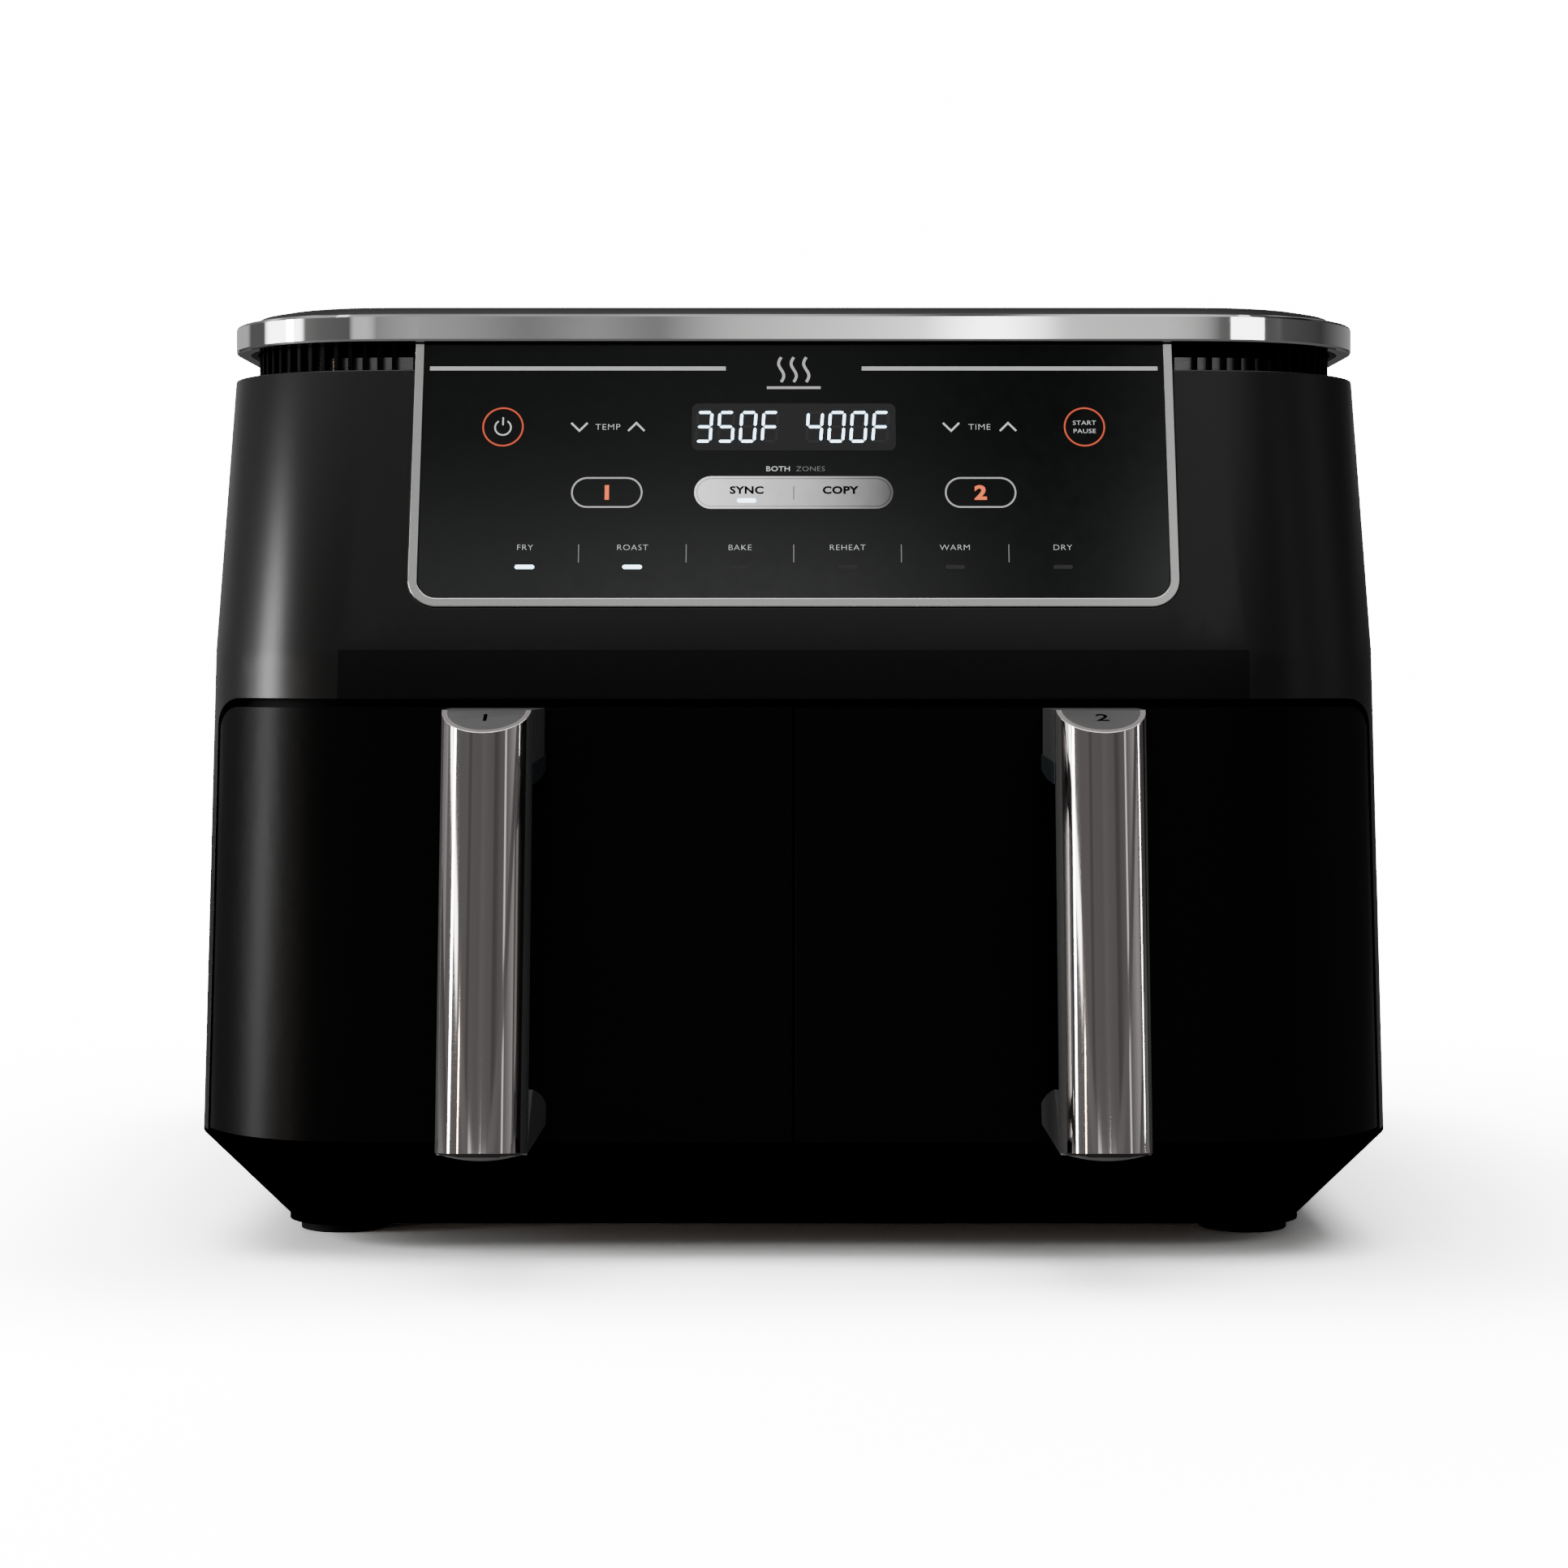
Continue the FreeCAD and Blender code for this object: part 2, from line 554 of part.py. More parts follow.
body.Tip = pattern
doc.recompute()
print("slots cut", round((solid_volume - body.Shape.Volume)
                         / value("slot_length * slot_height * wall"), 2))
body.setExpression("Placement.Base.y", bound(INNER_REAR))
gland_bush = rod_back("gland_hole", "gland_bore + 4", "40", "gland_across", INNER_REAR + " - 20",
                      "gland_height")
node("rear_cover", cut("rear_cover", body, gland_bush))

gland_tube = rod_back("gland_tube", "gland_bore + 4", "wall + 6", "gland_across",
                      INNER_REAR + " - wall - 4", "gland_height")
gland_flange = rod_back("gland_flange", "gland_bore + 8", "wall - 0.5", "gland_across", INNER_REAR,
                        "gland_height")
gland_passage = rod_back("gland_passage", "gland_bore", "40", "gland_across", INNER_REAR + " - 20",
                         "gland_height")
node("cord_gland", cut("cord_gland", fuse("cord_gland", gland_tube, gland_flange), gland_passage))

power_plate = box("power_plate", ("0 - power_half", "power_half"),
                  ("power_back", "power_back + board_thick"), ("power_low", "power_high"))
POWER_POSTS = [(f"{side} * ( power_half - post_inset )", up) for side in ("-1", "1")
               for up in ("power_low + post_inset", "power_high - post_inset")]
power_posts = [rod_back(f"power_post_{index}", "post_radius",
                        INNER_REAR + " - wall - power_back - board_thick", x, "power_back + board_thick", z)
               for index, (x, z) in enumerate(POWER_POSTS, start=1)]
transformer = box("transformer", ("10 - power_half", "38 - power_half"), ("power_back - 24", "power_back"),
                  ("power_low + 8", "power_low + 34"))
relays = [box(f"relay_{index}", (x, f"{x} + 16"), ("power_back - 16", "power_back"),
              ("power_low + 10", "power_low + 30")) for index, x in enumerate(("2", "22"), start=1)]
capacitor = rod_back("capacitor", "8", "28", "25 - power_half", "power_back - 28", "power_high - 12")
node("power_board", fuse("power_board", power_plate, *power_posts, transformer, *relays, capacitor))

COVER_SCREWS = [(f"{side} * ( cover_half - cover_lap )", up) for side in ("-1", "1")
                for up in ("cover_low + cover_lap", "cover_high - cover_lap")]
screws = [rod_back(f"cover_screw_{index}", "3.5", "2", x, INNER_REAR, z)
          for index, (x, z) in enumerate(COVER_SCREWS, start=1)]
node("cover_screws", group("cover_screws", *screws))

# ---------------------------------------------------------------- black frame round the two mouths
fascia_out = casing_body("fascia_out", "fascia_inset - fascia_thick",
                         "shell_top - fascia_inset + fascia_thick")
fascia_in = casing_body("fascia_in", "fascia_inset", "shell_top - fascia_inset")
fascia_box = box("fascia_box", ("0 - fascia_half", "fascia_half"),
                 ("0 - front_reach", "0 - liner_front + 40"), ("fascia_low", "fascia_high"))
fascia_windows = [box(f"fascia_window_{word}", (f"{side} * zone_centre - liner_half + liner_wall",
                                                f"{side} * zone_centre + liner_half - liner_wall"),
                      ("0 - front_reach - 5", "0"), ("liner_bottom + liner_wall", "fascia_window"))
                  for side, word in (("-1", "left"), ("1", "right"))]
fascia_wall = common("fascia_wall", cut("fascia_wall", fascia_out, fascia_in), fascia_box)
node("cavity_fascia", cut("cavity_fascia", fascia_wall, *fascia_windows))


# ---------------------------------------------------------------- drawers
def handle_frame(side):
    """Leaning frame of a handle: origin on the drawer face at the widest line of the base."""
    return leaning_frame((f"{side} * zone_centre", "0 - front_reach", "base_top"), "lean_low")


SHELL_BACK = "grip_depth - handle_reach"
CORE_BACK = "grip_depth + core_depth - handle_reach"


def grip(name, radius, low, high):
    """Round-fronted upright rod of the grip, its flat back at the shell's rear edge."""
    rod = cylinder(name + "_rod", radius, f"( {high} ) - ( {low} )", "0", SHELL_BACK, low)
    front = box(name + "_front", ("-20", "20"), ("0 - handle_reach - 5", SHELL_BACK),
                (low, high))
    return common(name, rod, front)


HEAD_DEPTH = "front_reach - ( drawer_top - screw_drop - base_top ) * tan( lean_low * 1deg ) - wall - 3.8"
SCREW_HEIGHT = "drawer_top - screw_drop"
SHOULDER_BACK = ("0 - front_reach - ( handle_reach - grip_depth ) * cos( lean_low * 1deg )"
                 " + ( drawer_top - base_top - ( handle_reach - grip_depth )"
                 " * sin( lean_low * 1deg ) ) * tan( lean_low * 1deg )")


GRIP_BACK = "front_reach + handle_reach - grip_depth - core_depth / 2"
ARM_FACE = "front_reach - 6"
UPPER_BACK = f"0 - ( {SHOULDER_BACK} ) - 1"
LOWER_ARM = [(GRIP_BACK, "handle_low - 1"), (ARM_FACE, "arm_root")]
LOWER_ARM += [(f"{ARM_FACE} + ( {GRIP_BACK} - {ARM_FACE} ) * ( 1 - cos( {turn} * 1deg ) )",
               f"arm_top - arm_round * ( 1 - sin( {turn} * 1deg ) )"
               f" - ( arm_top - arm_round - arm_drop ) * cos( {turn} * 1deg )") for turn in range(0, 91, 10)]
DOME_RADIUS = "( grip_width * grip_width / 4 + cap_height * cap_height ) / ( 2 * cap_height )"
UPPER_FACE = "front_reach - 25"
UPPER_ARM = [(UPPER_BACK, "drawer_top"), (UPPER_BACK, "drawer_top - arm_height - arm_fall"),
             (UPPER_FACE, "drawer_top - arm_height"), (UPPER_FACE, "drawer_top")]
MOUNT = [(UPPER_BACK, "drawer_top - arm_height - arm_fall"),
         (UPPER_BACK, "drawer_top - arm_height - arm_fall - mount_fall"),
         (UPPER_BACK + " - mount_knee", "drawer_top - arm_height - arm_fall - mount_fall + mount_rise"),
         (UPPER_FACE, "drawer_top - arm_height - mount_drop"), (UPPER_FACE, "drawer_top - arm_height")]


def arm(name, centre, corners, root):
    """Arm with a given side view, wider at the drawer than at the grip."""
    sketch = doc.addObject("Sketcher::SketchObject", name + "_side")
    spots = [V(-value(back), value(up), 0) for back, up in corners]
    rule = Sketcher.Constraint
    count = len(corners)
    for index in range(count):
        sketch.addGeometry(Part.LineSegment(spots[index], spots[(index + 1) % count]))
    for index in range(count):
        sketch.addConstraint(rule("Coincident", index, 2, (index + 1) % count, 1))
    for index, (back, up) in enumerate(corners):
        for label, kind, ends, text in (("back", "DistanceX", (index, 1, -1, 1), back),
                                        ("up", "DistanceY", (-1, 1, index, 1), up)):
            label = f"{label}_{index}"
            sketch.renameConstraint(sketch.addConstraint(rule(kind, *ends, value(text))), label)
            sketch.setExpression("Constraints." + label, bound(text))
    sketch.Placement.Rotation = FreeCAD.Rotation(V(1, 1, 1), 120)
    place(sketch, across=f"{centre} - {root} / 2")
    taper = doc.addObject("Part::Wedge", name + "_taper")
    bind(taper, Xmin="0 - arm_width / 2", Xmax="arm_width / 2", X2min=f"0 - {root} / 2",
         X2max=f"{root} / 2", Ymin="0", Ymax="handle_reach", Zmin="0", Z2min="0",
         Zmax="total_height", Z2max="total_height")
    place(taper, centre, "0 - front_reach - handle_reach + grip_depth", "0")
    return common(name, extrude(name, sketch, root), taper)


def drawer(number, side):
    centre = f"{side} * zone_centre"
    tag = f"_{number}"
    settle = handle_frame(side)

    screw_ways = [rod_back(f"screw_way_{index}" + tag, "screw_radius + screw_gap", "80",
                           f"{centre} + {offset} * screw_spread", "-130", SCREW_HEIGHT)
                  for index, offset in enumerate(("-1", "1"), start=1)]
    ways = group("screw_ways" + tag, *screw_ways)

    # front skin: the part of the casing's skin inside the mouth, less the gaps
    edges = ("centre_gap / 2", "opening_half - drawer_gap")
    if side == "-1":
        edges = tuple(f"0 - ( {edge} )" for edge in reversed(edges))
    outer_x = f"{side} * ( opening_half - drawer_gap - drawer_corner )"
    low_box = box("front_low" + tag, edges, ("-200", "-50"),
                  ("drawer_bottom", "drawer_top - drawer_corner"))
    inner_edges = (edges[0], outer_x) if side == "1" else (outer_x, edges[1])
    high_box = box("front_high" + tag, inner_edges, ("-200", "-50"), ("drawer_bottom", "drawer_top"))
    round_corner = rod_back("front_corner" + tag, "drawer_corner", "150", outer_x, "-200",
                            "drawer_top - drawer_corner")
    region = fuse("front_region" + tag, low_box, high_box, round_corner)
    front = common("drawer_front" + tag, skin, region)
    node("drawer_front" + tag, cut("drawer_front" + tag, front, ways))

    # inner moulding: a second wall behind the skin, with a block that carries the basket
    wall_out = casing_body("moulding_out" + tag, "wall", "shell_top - wall")
    wall_in = casing_body("moulding_in" + tag, "wall + 3", "shell_top - wall - 3")
    moulding_box = box("moulding_box" + tag, (f"{centre} - basket_half - 6", f"{centre} + basket_half + 6"),
                       ("-200", "0 - basket_front - 0.01"), ("drawer_bottom + 4", "drawer_top - 6"))
    shell = common("moulding_wall" + tag, cut("moulding_wall" + tag, wall_out, wall_in), moulding_box)
    block_box = box("moulding_block" + tag, (f"{centre} - 45", f"{centre} + 45"),
                    ("-200", "0 - basket_front"), ("basket_top - 50", "basket_top - 10"))
    block = common("moulding_block" + tag, wall_out, block_box)
    moulding = fuse("drawer_inner" + tag, shell, block)
    node("drawer_inner" + tag, cut("drawer_inner" + tag, moulding, ways))

    # basket
    runner_top = "liner_bottom + liner_wall + runner_height"
    floor = f"{runner_top} + slide_gap"

    def tub(name, inset, low, high):
        return loft(name + tag,
                    rounded_box(name + "_low" + tag, low, centre,
                                f"basket_half - basket_draft - ( {inset} )",
                                f"0 - basket_front + {inset}",
                                f"basket_rear - basket_draft - ( {inset} )",
                                f"basket_corner - {inset}"),
                    rounded_box(name + "_high" + tag, high, centre, f"basket_half - ( {inset} )",
                                f"0 - basket_front + {inset}", f"basket_rear - ( {inset} )",
                                f"basket_corner - {inset}"))

    tub_outer = tub("tub_outer", "0", floor, "basket_top")
    tub_inner = tub("tub_inner", "basket_wall", f"{floor} + basket_wall", "basket_top + 3")
    rim_plan = rounded_box("rim_plan" + tag, "basket_top - basket_wall", centre,
                           "basket_half + rim_width", "0 - basket_front",
                           "basket_rear + rim_width", "basket_corner")
    rim = extrude("rim" + tag, rim_plan, "basket_wall")
    node("basket" + tag, cut("basket" + tag, fuse("basket" + tag, tub_outer, rim), tub_inner))

    # crisper plate and its feet
    plate_low = f"{floor} + plate_rise"
    plate_half = "basket_half - basket_draft - basket_wall - plate_gap"
    plate_plan = rounded_box("plate_plan" + tag, plate_low, centre, plate_half,
                             "0 - basket_front + basket_wall + plate_gap",
                             "basket_rear - basket_draft - basket_wall - plate_gap",
                             "basket_corner - basket_wall - plate_gap")
    plate = extrude("plate" + tag, plate_plan, "plate_thick")
    holes = []
    for column in range(5):
        for line in range(7):
            x = f"{centre} + ( {column} - 2 ) * 26"
            y = f"zone_middle + ( {line} - 3 ) * 27"
            holes.append(cylinder(f"vent_hole_{column}_{line}" + tag, "6", "plate_thick + 4",
                                  x, y, f"{plate_low} - 2"))
    perforation = group("perforation" + tag, *holes)
    node("crisper_plate" + tag, cut("crisper_plate" + tag, plate, perforation))
    stands = []
    spots = [(f"{centre} + {sx} * ( {plate_half} - 18 )", y)
             for sx in ("-1", "1") for y in ("0 - basket_front + 24", "basket_rear - 28")]
    for index, (x, y) in enumerate(spots, start=1):
        stands.append(cylinder(f"stand_{index}" + tag, "5",
                               f"{plate_low} - ( {floor} ) - basket_wall - slide_gap", x, y,
                               f"{floor} + basket_wall + slide_gap"))
    node("plate_feet" + tag, group("plate_feet" + tag, *stands))

    # handle: a leaning grip with a polished shell, held by two arms
    shell_low = ("( handle_low - base_top - ( handle_reach - grip_depth ) * sin( lean_low * 1deg ) )"
                 " / cos( lean_low * 1deg )")
    core_low = f"{shell_low} - cap_height"
    grip_high = "drawer_top - base_top + 20"
    levelling = box("levelling" + tag, (f"{centre} - 30", f"{centre} + 30"), ("-220", "0"),
                    ("drawer_top", "drawer_top + 60"))
    slant = box("slant" + tag, (f"{centre} - 30", f"{centre} + 30"), ("0", "40"), ("0", "60"))
    place(slant, f"{centre} - 30", f"{SHOULDER_BACK} - 40 * cos( top_slant * 1deg )",
          "drawer_top - 40 * sin( top_slant * 1deg )")
    tilt(slant, "top_slant")

    shell = cut("grip_shell" + tag, grip("shell_out" + tag, "grip_width / 2", shell_low, grip_high),
                grip("shell_in" + tag, "grip_width / 2 - grip_wall", f"{shell_low} - 5",
                     f"{grip_high} + 5"))
    node("handle_shell" + tag, cut("handle_shell" + tag, settle(shell), levelling, slant))

    slab = box("grip_slab" + tag, ("0 - core_width / 2", "core_width / 2"), (SHELL_BACK, CORE_BACK),
               (shell_low, grip_high))
    filling = grip("grip_filling" + tag, "grip_width / 2 - grip_wall", shell_low, grip_high)
    dome = bind(doc.addObject("Part::Sphere", "cap_dome" + tag), Radius=DOME_RADIUS)
    place(dome, "0", SHELL_BACK, f"{core_low} + {DOME_RADIUS}")
    cap_front = box("cap_front" + tag, ("-20", "20"), ("0 - handle_reach - 5", CORE_BACK),
                    (core_low, shell_low))
    cap = common("grip_cap" + tag, dome, cap_front)
    grip_core = settle(fuse("grip_core" + tag, slab, filling, cap))
    upper_arm = arm("upper_arm" + tag, centre, UPPER_ARM, "root_width")
    lower_arm = arm("lower_arm" + tag, centre, LOWER_ARM, "low_root_width")
    whole = fuse("handle_whole" + tag, grip_core, upper_arm, lower_arm)
    core = node("handle_core" + tag, cut("handle_core" + tag, whole, levelling, slant, outer_body, ways))
    mount = arm("mount" + tag, centre, MOUNT, "mount_width")
    node("handle_mount" + tag, cut("handle_mount" + tag, mount, outer_body, core))

    screws = []
    for index, offset in enumerate(("-1", "1"), start=1):
        x = f"{centre} + {offset} * screw_spread"
        screws.append(rod_back(f"shank_{index}" + tag, "screw_radius", f"125 - ( {HEAD_DEPTH} )", x,
                               "-125", SCREW_HEIGHT))
        screws.append(rod_back(f"head_{index}" + tag, "screw_radius * 2", "2.2", x,
                               f"0 - ( {HEAD_DEPTH} )", SCREW_HEIGHT))
    pairs = [fuse(f"handle_screw_{index}" + tag, *screws[2 * index - 2:2 * index]) for index in (1, 2)]
    node("handle_screws" + tag, group("handle_screws" + tag, *pairs))


def torus(name, ring, tube, across, back, up):
    thing = bind(doc.addObject("Part::Torus", name), Radius1=ring, Radius2=tube)
    return place(thing, across, back, up)


def fan(name, centre, radius, bottom, blade, blades, disc_on_top):
    """Flat disc with straight radial blades on one side and a bored hub."""
    disc_level = f"{bottom} + {blade}" if disc_on_top else bottom
    blade_level = bottom if disc_on_top else f"{bottom} + 1"
    disc = cylinder(name + "_disc", radius, "1", centre, "zone_middle", disc_level)
    hub = cylinder(name + "_hub", "hub_radius", f"{blade} + 1", centre, "zone_middle", bottom)
    vanes = []
    for index in range(blades):
        vane = bind(doc.addObject("Part::Box", f"{name}_vane_{index}"),
                    Length=f"{radius} - 1", Width="1.2", Height=blade)
        place(vane, centre, "zone_middle", blade_level)
        vane.Placement.Rotation = FreeCAD.Rotation(Z_AXIS, 360 * index / blades)
        vanes.append(vane)
    bore = cylinder(name + "_bore", "shaft_radius", "40", centre, "zone_middle", f"{bottom} - 10")
    return cut(name, fuse(name, disc, hub, *vanes), bore)


def zone(number, side):
    """What one cooking zone holds inside the housing."""
    centre = f"{side} * zone_centre"
    tag = f"_{number}"
    sides = (f"{centre} - liner_half", f"{centre} + liner_half")
    inner_sides = (f"{centre} - liner_half + liner_wall", f"{centre} + liner_half - liner_wall")

    # liner: a duct open at the front, with two runners for the basket
    duct_out = box("duct_out" + tag, sides, ("0 - liner_front", "liner_rear"),
                   ("liner_bottom", "liner_top"))
    duct_in = box("duct_in" + tag, inner_sides, ("0 - liner_front - 20", "liner_rear - liner_wall"),
                  ("liner_bottom + liner_wall", "liner_top - liner_wall"))
    runners = [box(f"runner_{index}" + tag, (f"{centre} + {x} - 2", f"{centre} + {x} + 2"),
                   ("0 - basket_front + 6", "basket_rear"),
                   ("liner_bottom", "liner_bottom + liner_wall + runner_height"))
               for index, x in enumerate(("-50", "50"), start=1)]
    front_limit = casing_body("liner_limit" + tag, "fascia_inset", "shell_top - fascia_inset")
    shaft_way = cylinder("shaft_way" + tag, "shaft_radius + 2", "30", centre, "zone_middle",
                         "liner_top - 15")
    probe_way = rod_back("probe_way" + tag, "2.1", "30", f"{centre} + 60", "liner_rear - 15", "166")
    leg_ways = [rod_back(f"leg_way_{index}" + tag, "tube_radius + 0.1", "30",
                         f"{centre} + {x}", "liner_rear - 15", "heater_height")
                for index, x in enumerate(("-12", "12"), start=1)]
    duct = fuse("duct" + tag, cut("duct" + tag, duct_out, duct_in), *runners)
    limited = common("liner_limited" + tag, duct, front_limit)
    node("cavity_liner" + tag, cut("cavity_liner" + tag, limited, shaft_way, probe_way, *leg_ways))

    # heater guard: concentric wire rings on two crossing wires
    rings = [torus(f"guard_ring_{radius}" + tag, str(radius), "wire_radius", centre, "zone_middle",
                   "guard_height") for radius in (18, 32, 46, 60, 74)]
    wire_across = cylinder("wire_across" + tag, "wire_radius", "2 * ( liner_half - liner_wall )",
                           f"{centre} - liner_half + liner_wall", "zone_middle", "guard_height")
    wire_across.Placement.Rotation = FreeCAD.Rotation(V(0, 1, 0), 90)
    wire_back = rod_back("wire_back" + tag, "wire_radius", "liner_rear - liner_wall - zone_middle + 80",
                         centre, "zone_middle - 80", "guard_height")
    node("heater_guard" + tag, fuse("heater_guard" + tag, *rings, wire_across, wire_back))

    # heating element: two rings joined by links, with two legs through the rear wall
    coils = [torus("coil_outer" + tag, "heater_ring", "tube_radius", centre, "zone_middle",
                   "heater_height"),
             torus("coil_inner" + tag, "heater_ring - 18", "tube_radius", centre, "zone_middle",
                   "heater_height")]
    legs = [rod_back(f"leg_{index}" + tag, "tube_radius", "liner_rear - zone_middle - heater_ring + 16",
                     f"{centre} + {x}", "zone_middle + heater_ring - 2", "heater_height")
            for index, x in enumerate(("-12", "12"), start=1)]
    links = [rod_back(f"link_{index}" + tag, "tube_radius * 0.6", "18", centre, y, "heater_height")
             for index, y in enumerate(("zone_middle - heater_ring", "zone_middle + heater_ring - 18"),
                                       start=1)]
    node("heating_element" + tag, fuse("heating_element" + tag, *coils, *legs, *links))

    # fans on one shaft, with the motor on its bracket
    node("hot_fan" + tag, fan("hot_fan" + tag, centre, "fan_radius", "fan_bottom", "fan_blade", 10, True))
    node("cooling_fan" + tag, fan("cooling_fan" + tag, centre, "cooler_radius", "cooler_bottom",
                                  "cooler_blade", 12, False))
    motor_bottom = "bracket_height + bracket_thick"
    node("fan_shaft" + tag, cylinder("fan_shaft" + tag, "shaft_radius",
                                     f"{motor_bottom} + 16 - fan_bottom + 2", centre, "zone_middle",
                                     "fan_bottom - 2"))
    plate = box("bracket_plate" + tag, (f"{centre} - bracket_half", f"{centre} + bracket_half"),
                ("zone_middle - 34", "zone_middle + 34"), ("bracket_height", motor_bottom))
    posts = [box(f"bracket_post_{index}" + tag,
                 (f"{centre} + {x} * ( bracket_half - 3 ) - 3", f"{centre} + {x} * ( bracket_half - 3 ) + 3"),
                 ("zone_middle - 12", "zone_middle + 12"), ("liner_top", "bracket_height"))
             for index, x in enumerate(("-1", "1"), start=1)]
    bracket_way = cylinder("bracket_way" + tag, "shaft_radius + 3", "20", centre, "zone_middle",
                           "bracket_height - 10")
    node("motor_bracket" + tag, cut("motor_bracket" + tag,
                                    fuse("motor_bracket" + tag, plate, *posts), bracket_way))
    can = cylinder("motor_can" + tag, "motor_radius", "motor_height", centre, "zone_middle", motor_bottom)
    cap = cylinder("motor_cap" + tag, "motor_radius / 3", "6", centre, "zone_middle",
                   f"{motor_bottom} + motor_height")
    bearing = cylinder("motor_bearing" + tag, "shaft_radius + shaft_gap", "20", centre, "zone_middle",
                       motor_bottom)
    node("motor" + tag, cut("motor" + tag, fuse("motor" + tag, can, cap), bearing))

    # probe, thermal cut-out and drawer sensor
    stem = rod_back("probe_stem" + tag, "2", "34", f"{centre} + 60", "liner_rear - 30", "166")
    collar = rod_back("probe_collar" + tag, "5", "4", f"{centre} + 60", "liner_rear", "166")
    node("temperature_probe" + tag, fuse("temperature_probe" + tag, stem, collar))
    button = cylinder("cutout_body" + tag, "8", "5", f"{centre} + 66", "zone_middle + 70", "liner_top")
    tabs = box("cutout_tabs" + tag, (f"{centre} + 63", f"{centre} + 69"),
               ("zone_middle + 58", "zone_middle + 82"), ("liner_top + 1", "liner_top + 2"))
    node("thermal_cutout" + tag, fuse("thermal_cutout" + tag, button, tabs))
    node("drawer_sensor" + tag, box("drawer_sensor" + tag, (f"{centre} - 10", f"{centre} + 10"),
                                    ("liner_rear", "liner_rear + 7"), ("96", "108")))


for number, side in ((1, "-1"), (2, "1")):
    drawer(number, side)
    zone(number, side)

# ---------------------------------------------------------------- finish
doc.recompute()
faults = [thing.Name for thing in doc.Objects
          if "Invalid" in thing.State or "Error" in thing.State]
faults += [thing.Label for thing in NODES
           if thing.Shape.isNull() or not thing.Shape.isValid() or not thing.Shape.Solids]
if faults:
    raise RuntimeError("not built: " + ", ".join(faults))
os.makedirs("parts", exist_ok=True)
for thing in NODES:
    thing.Shape.exportStep(f"parts/{thing.Label}.step")
print(len(NODES), "nodes written")
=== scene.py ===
import json
import math

import bmesh
import bpy
from mathutils import Matrix, Vector


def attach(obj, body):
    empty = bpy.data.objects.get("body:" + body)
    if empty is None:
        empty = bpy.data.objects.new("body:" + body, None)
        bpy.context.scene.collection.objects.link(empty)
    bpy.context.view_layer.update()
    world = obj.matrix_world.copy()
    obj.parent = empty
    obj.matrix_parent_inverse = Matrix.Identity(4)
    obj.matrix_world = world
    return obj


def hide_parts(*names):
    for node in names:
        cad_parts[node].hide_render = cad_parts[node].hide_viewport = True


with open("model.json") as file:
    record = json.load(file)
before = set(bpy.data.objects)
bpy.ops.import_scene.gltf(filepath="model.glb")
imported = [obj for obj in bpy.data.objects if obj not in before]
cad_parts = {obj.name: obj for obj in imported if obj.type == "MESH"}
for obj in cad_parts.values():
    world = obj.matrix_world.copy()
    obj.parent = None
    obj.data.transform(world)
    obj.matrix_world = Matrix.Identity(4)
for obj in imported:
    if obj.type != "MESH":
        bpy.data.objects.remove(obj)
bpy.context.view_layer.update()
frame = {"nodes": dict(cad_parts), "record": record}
NODES = frame["nodes"]
MM = 0.001

# ---------------------------------------------------------------- sizes of the casing, in millimetres
FRONT = 121.0
BASE_TOP = 37.3
CREASE = 197.5
LEAN_LOW = math.radians(8)
LEAN_HIGH = math.radians(15.5)
CREASE_FRONT = FRONT - (CREASE - BASE_TOP) * math.tan(LEAN_LOW)

# the part of the casing's front that gets painted shade, the polished front of a grip, and its domed foot
# that gets painted floor light
SHADED_FRONT_HALF = 150.0
SHADED_FRONT_TOP = CREASE + 1
CHEEK_ANGLE = math.radians(66)
FOOT_TOP = 43.2
FOOT_FRONT = 150.0

# ---------------------------------------------------------------- white paper
PAPER_GLOW = 16.0
PAPER_GAIN = 14.0
PAPER_HALF = 6
PAPER_GREY = 0.15
FADE_NEAR = 0.30
FADE_FAR = 0.62


def zone_of(number):
    """Sign of the side on which a cooking zone lies."""
    return -1 if number == 1 else 1


# ---------------------------------------------------------------- camera
def make_camera():
    """Level camera in front of the appliance, a little above the middle of its height."""
    data = bpy.data.cameras.new("camera")
    data.sensor_width = 36
    data.lens = 71.8
    data.shift_x = -0.0062
    data.shift_y = -0.0807
    camera = bpy.data.objects.new("camera", data)
    camera.location = (0, -1.121, 0.195)
    camera.rotation_euler = (math.radians(90), 0, 0)
    bpy.context.scene.collection.objects.link(camera)
    bpy.context.scene.camera = camera


# ---------------------------------------------------------------- light
def math_node(tree, operation, *values):
    """Result of a sum on numbers and sockets."""
    node = tree.nodes.new("ShaderNodeMath")
    node.operation = operation
    for index, item in enumerate(values):
        if isinstance(item, (int, float)):
            node.inputs[index].default_value = item
        else:
            tree.links.new(item, node.inputs[index])
    return node.outputs[0]


def soft_light(name, place, aim, size, power, colour=(1, 1, 1)):
    """Rectangular soft light that looks at a point."""
    data = bpy.data.lights.new(name, "AREA")
    data.shape = "RECTANGLE"
    data.size, data.size_y = size
    data.energy = power
    data.color = colour
    light = bpy.data.objects.new(name, data)
    light.location = place
    light.rotation_euler = (Vector(aim) - Vector(place)).to_track_quat("-Z", "Y").to_euler()
    bpy.context.scene.collection.objects.link(light)
    return light


def light_only(light, *pieces):
    """Keep a light to a few pieces."""
    lit = bpy.data.collections.new(light.name + "_lit")
    for piece in pieces:
        lit.objects.link(bpy.data.objects[piece])
    light.light_linking.receiver_collection = lit


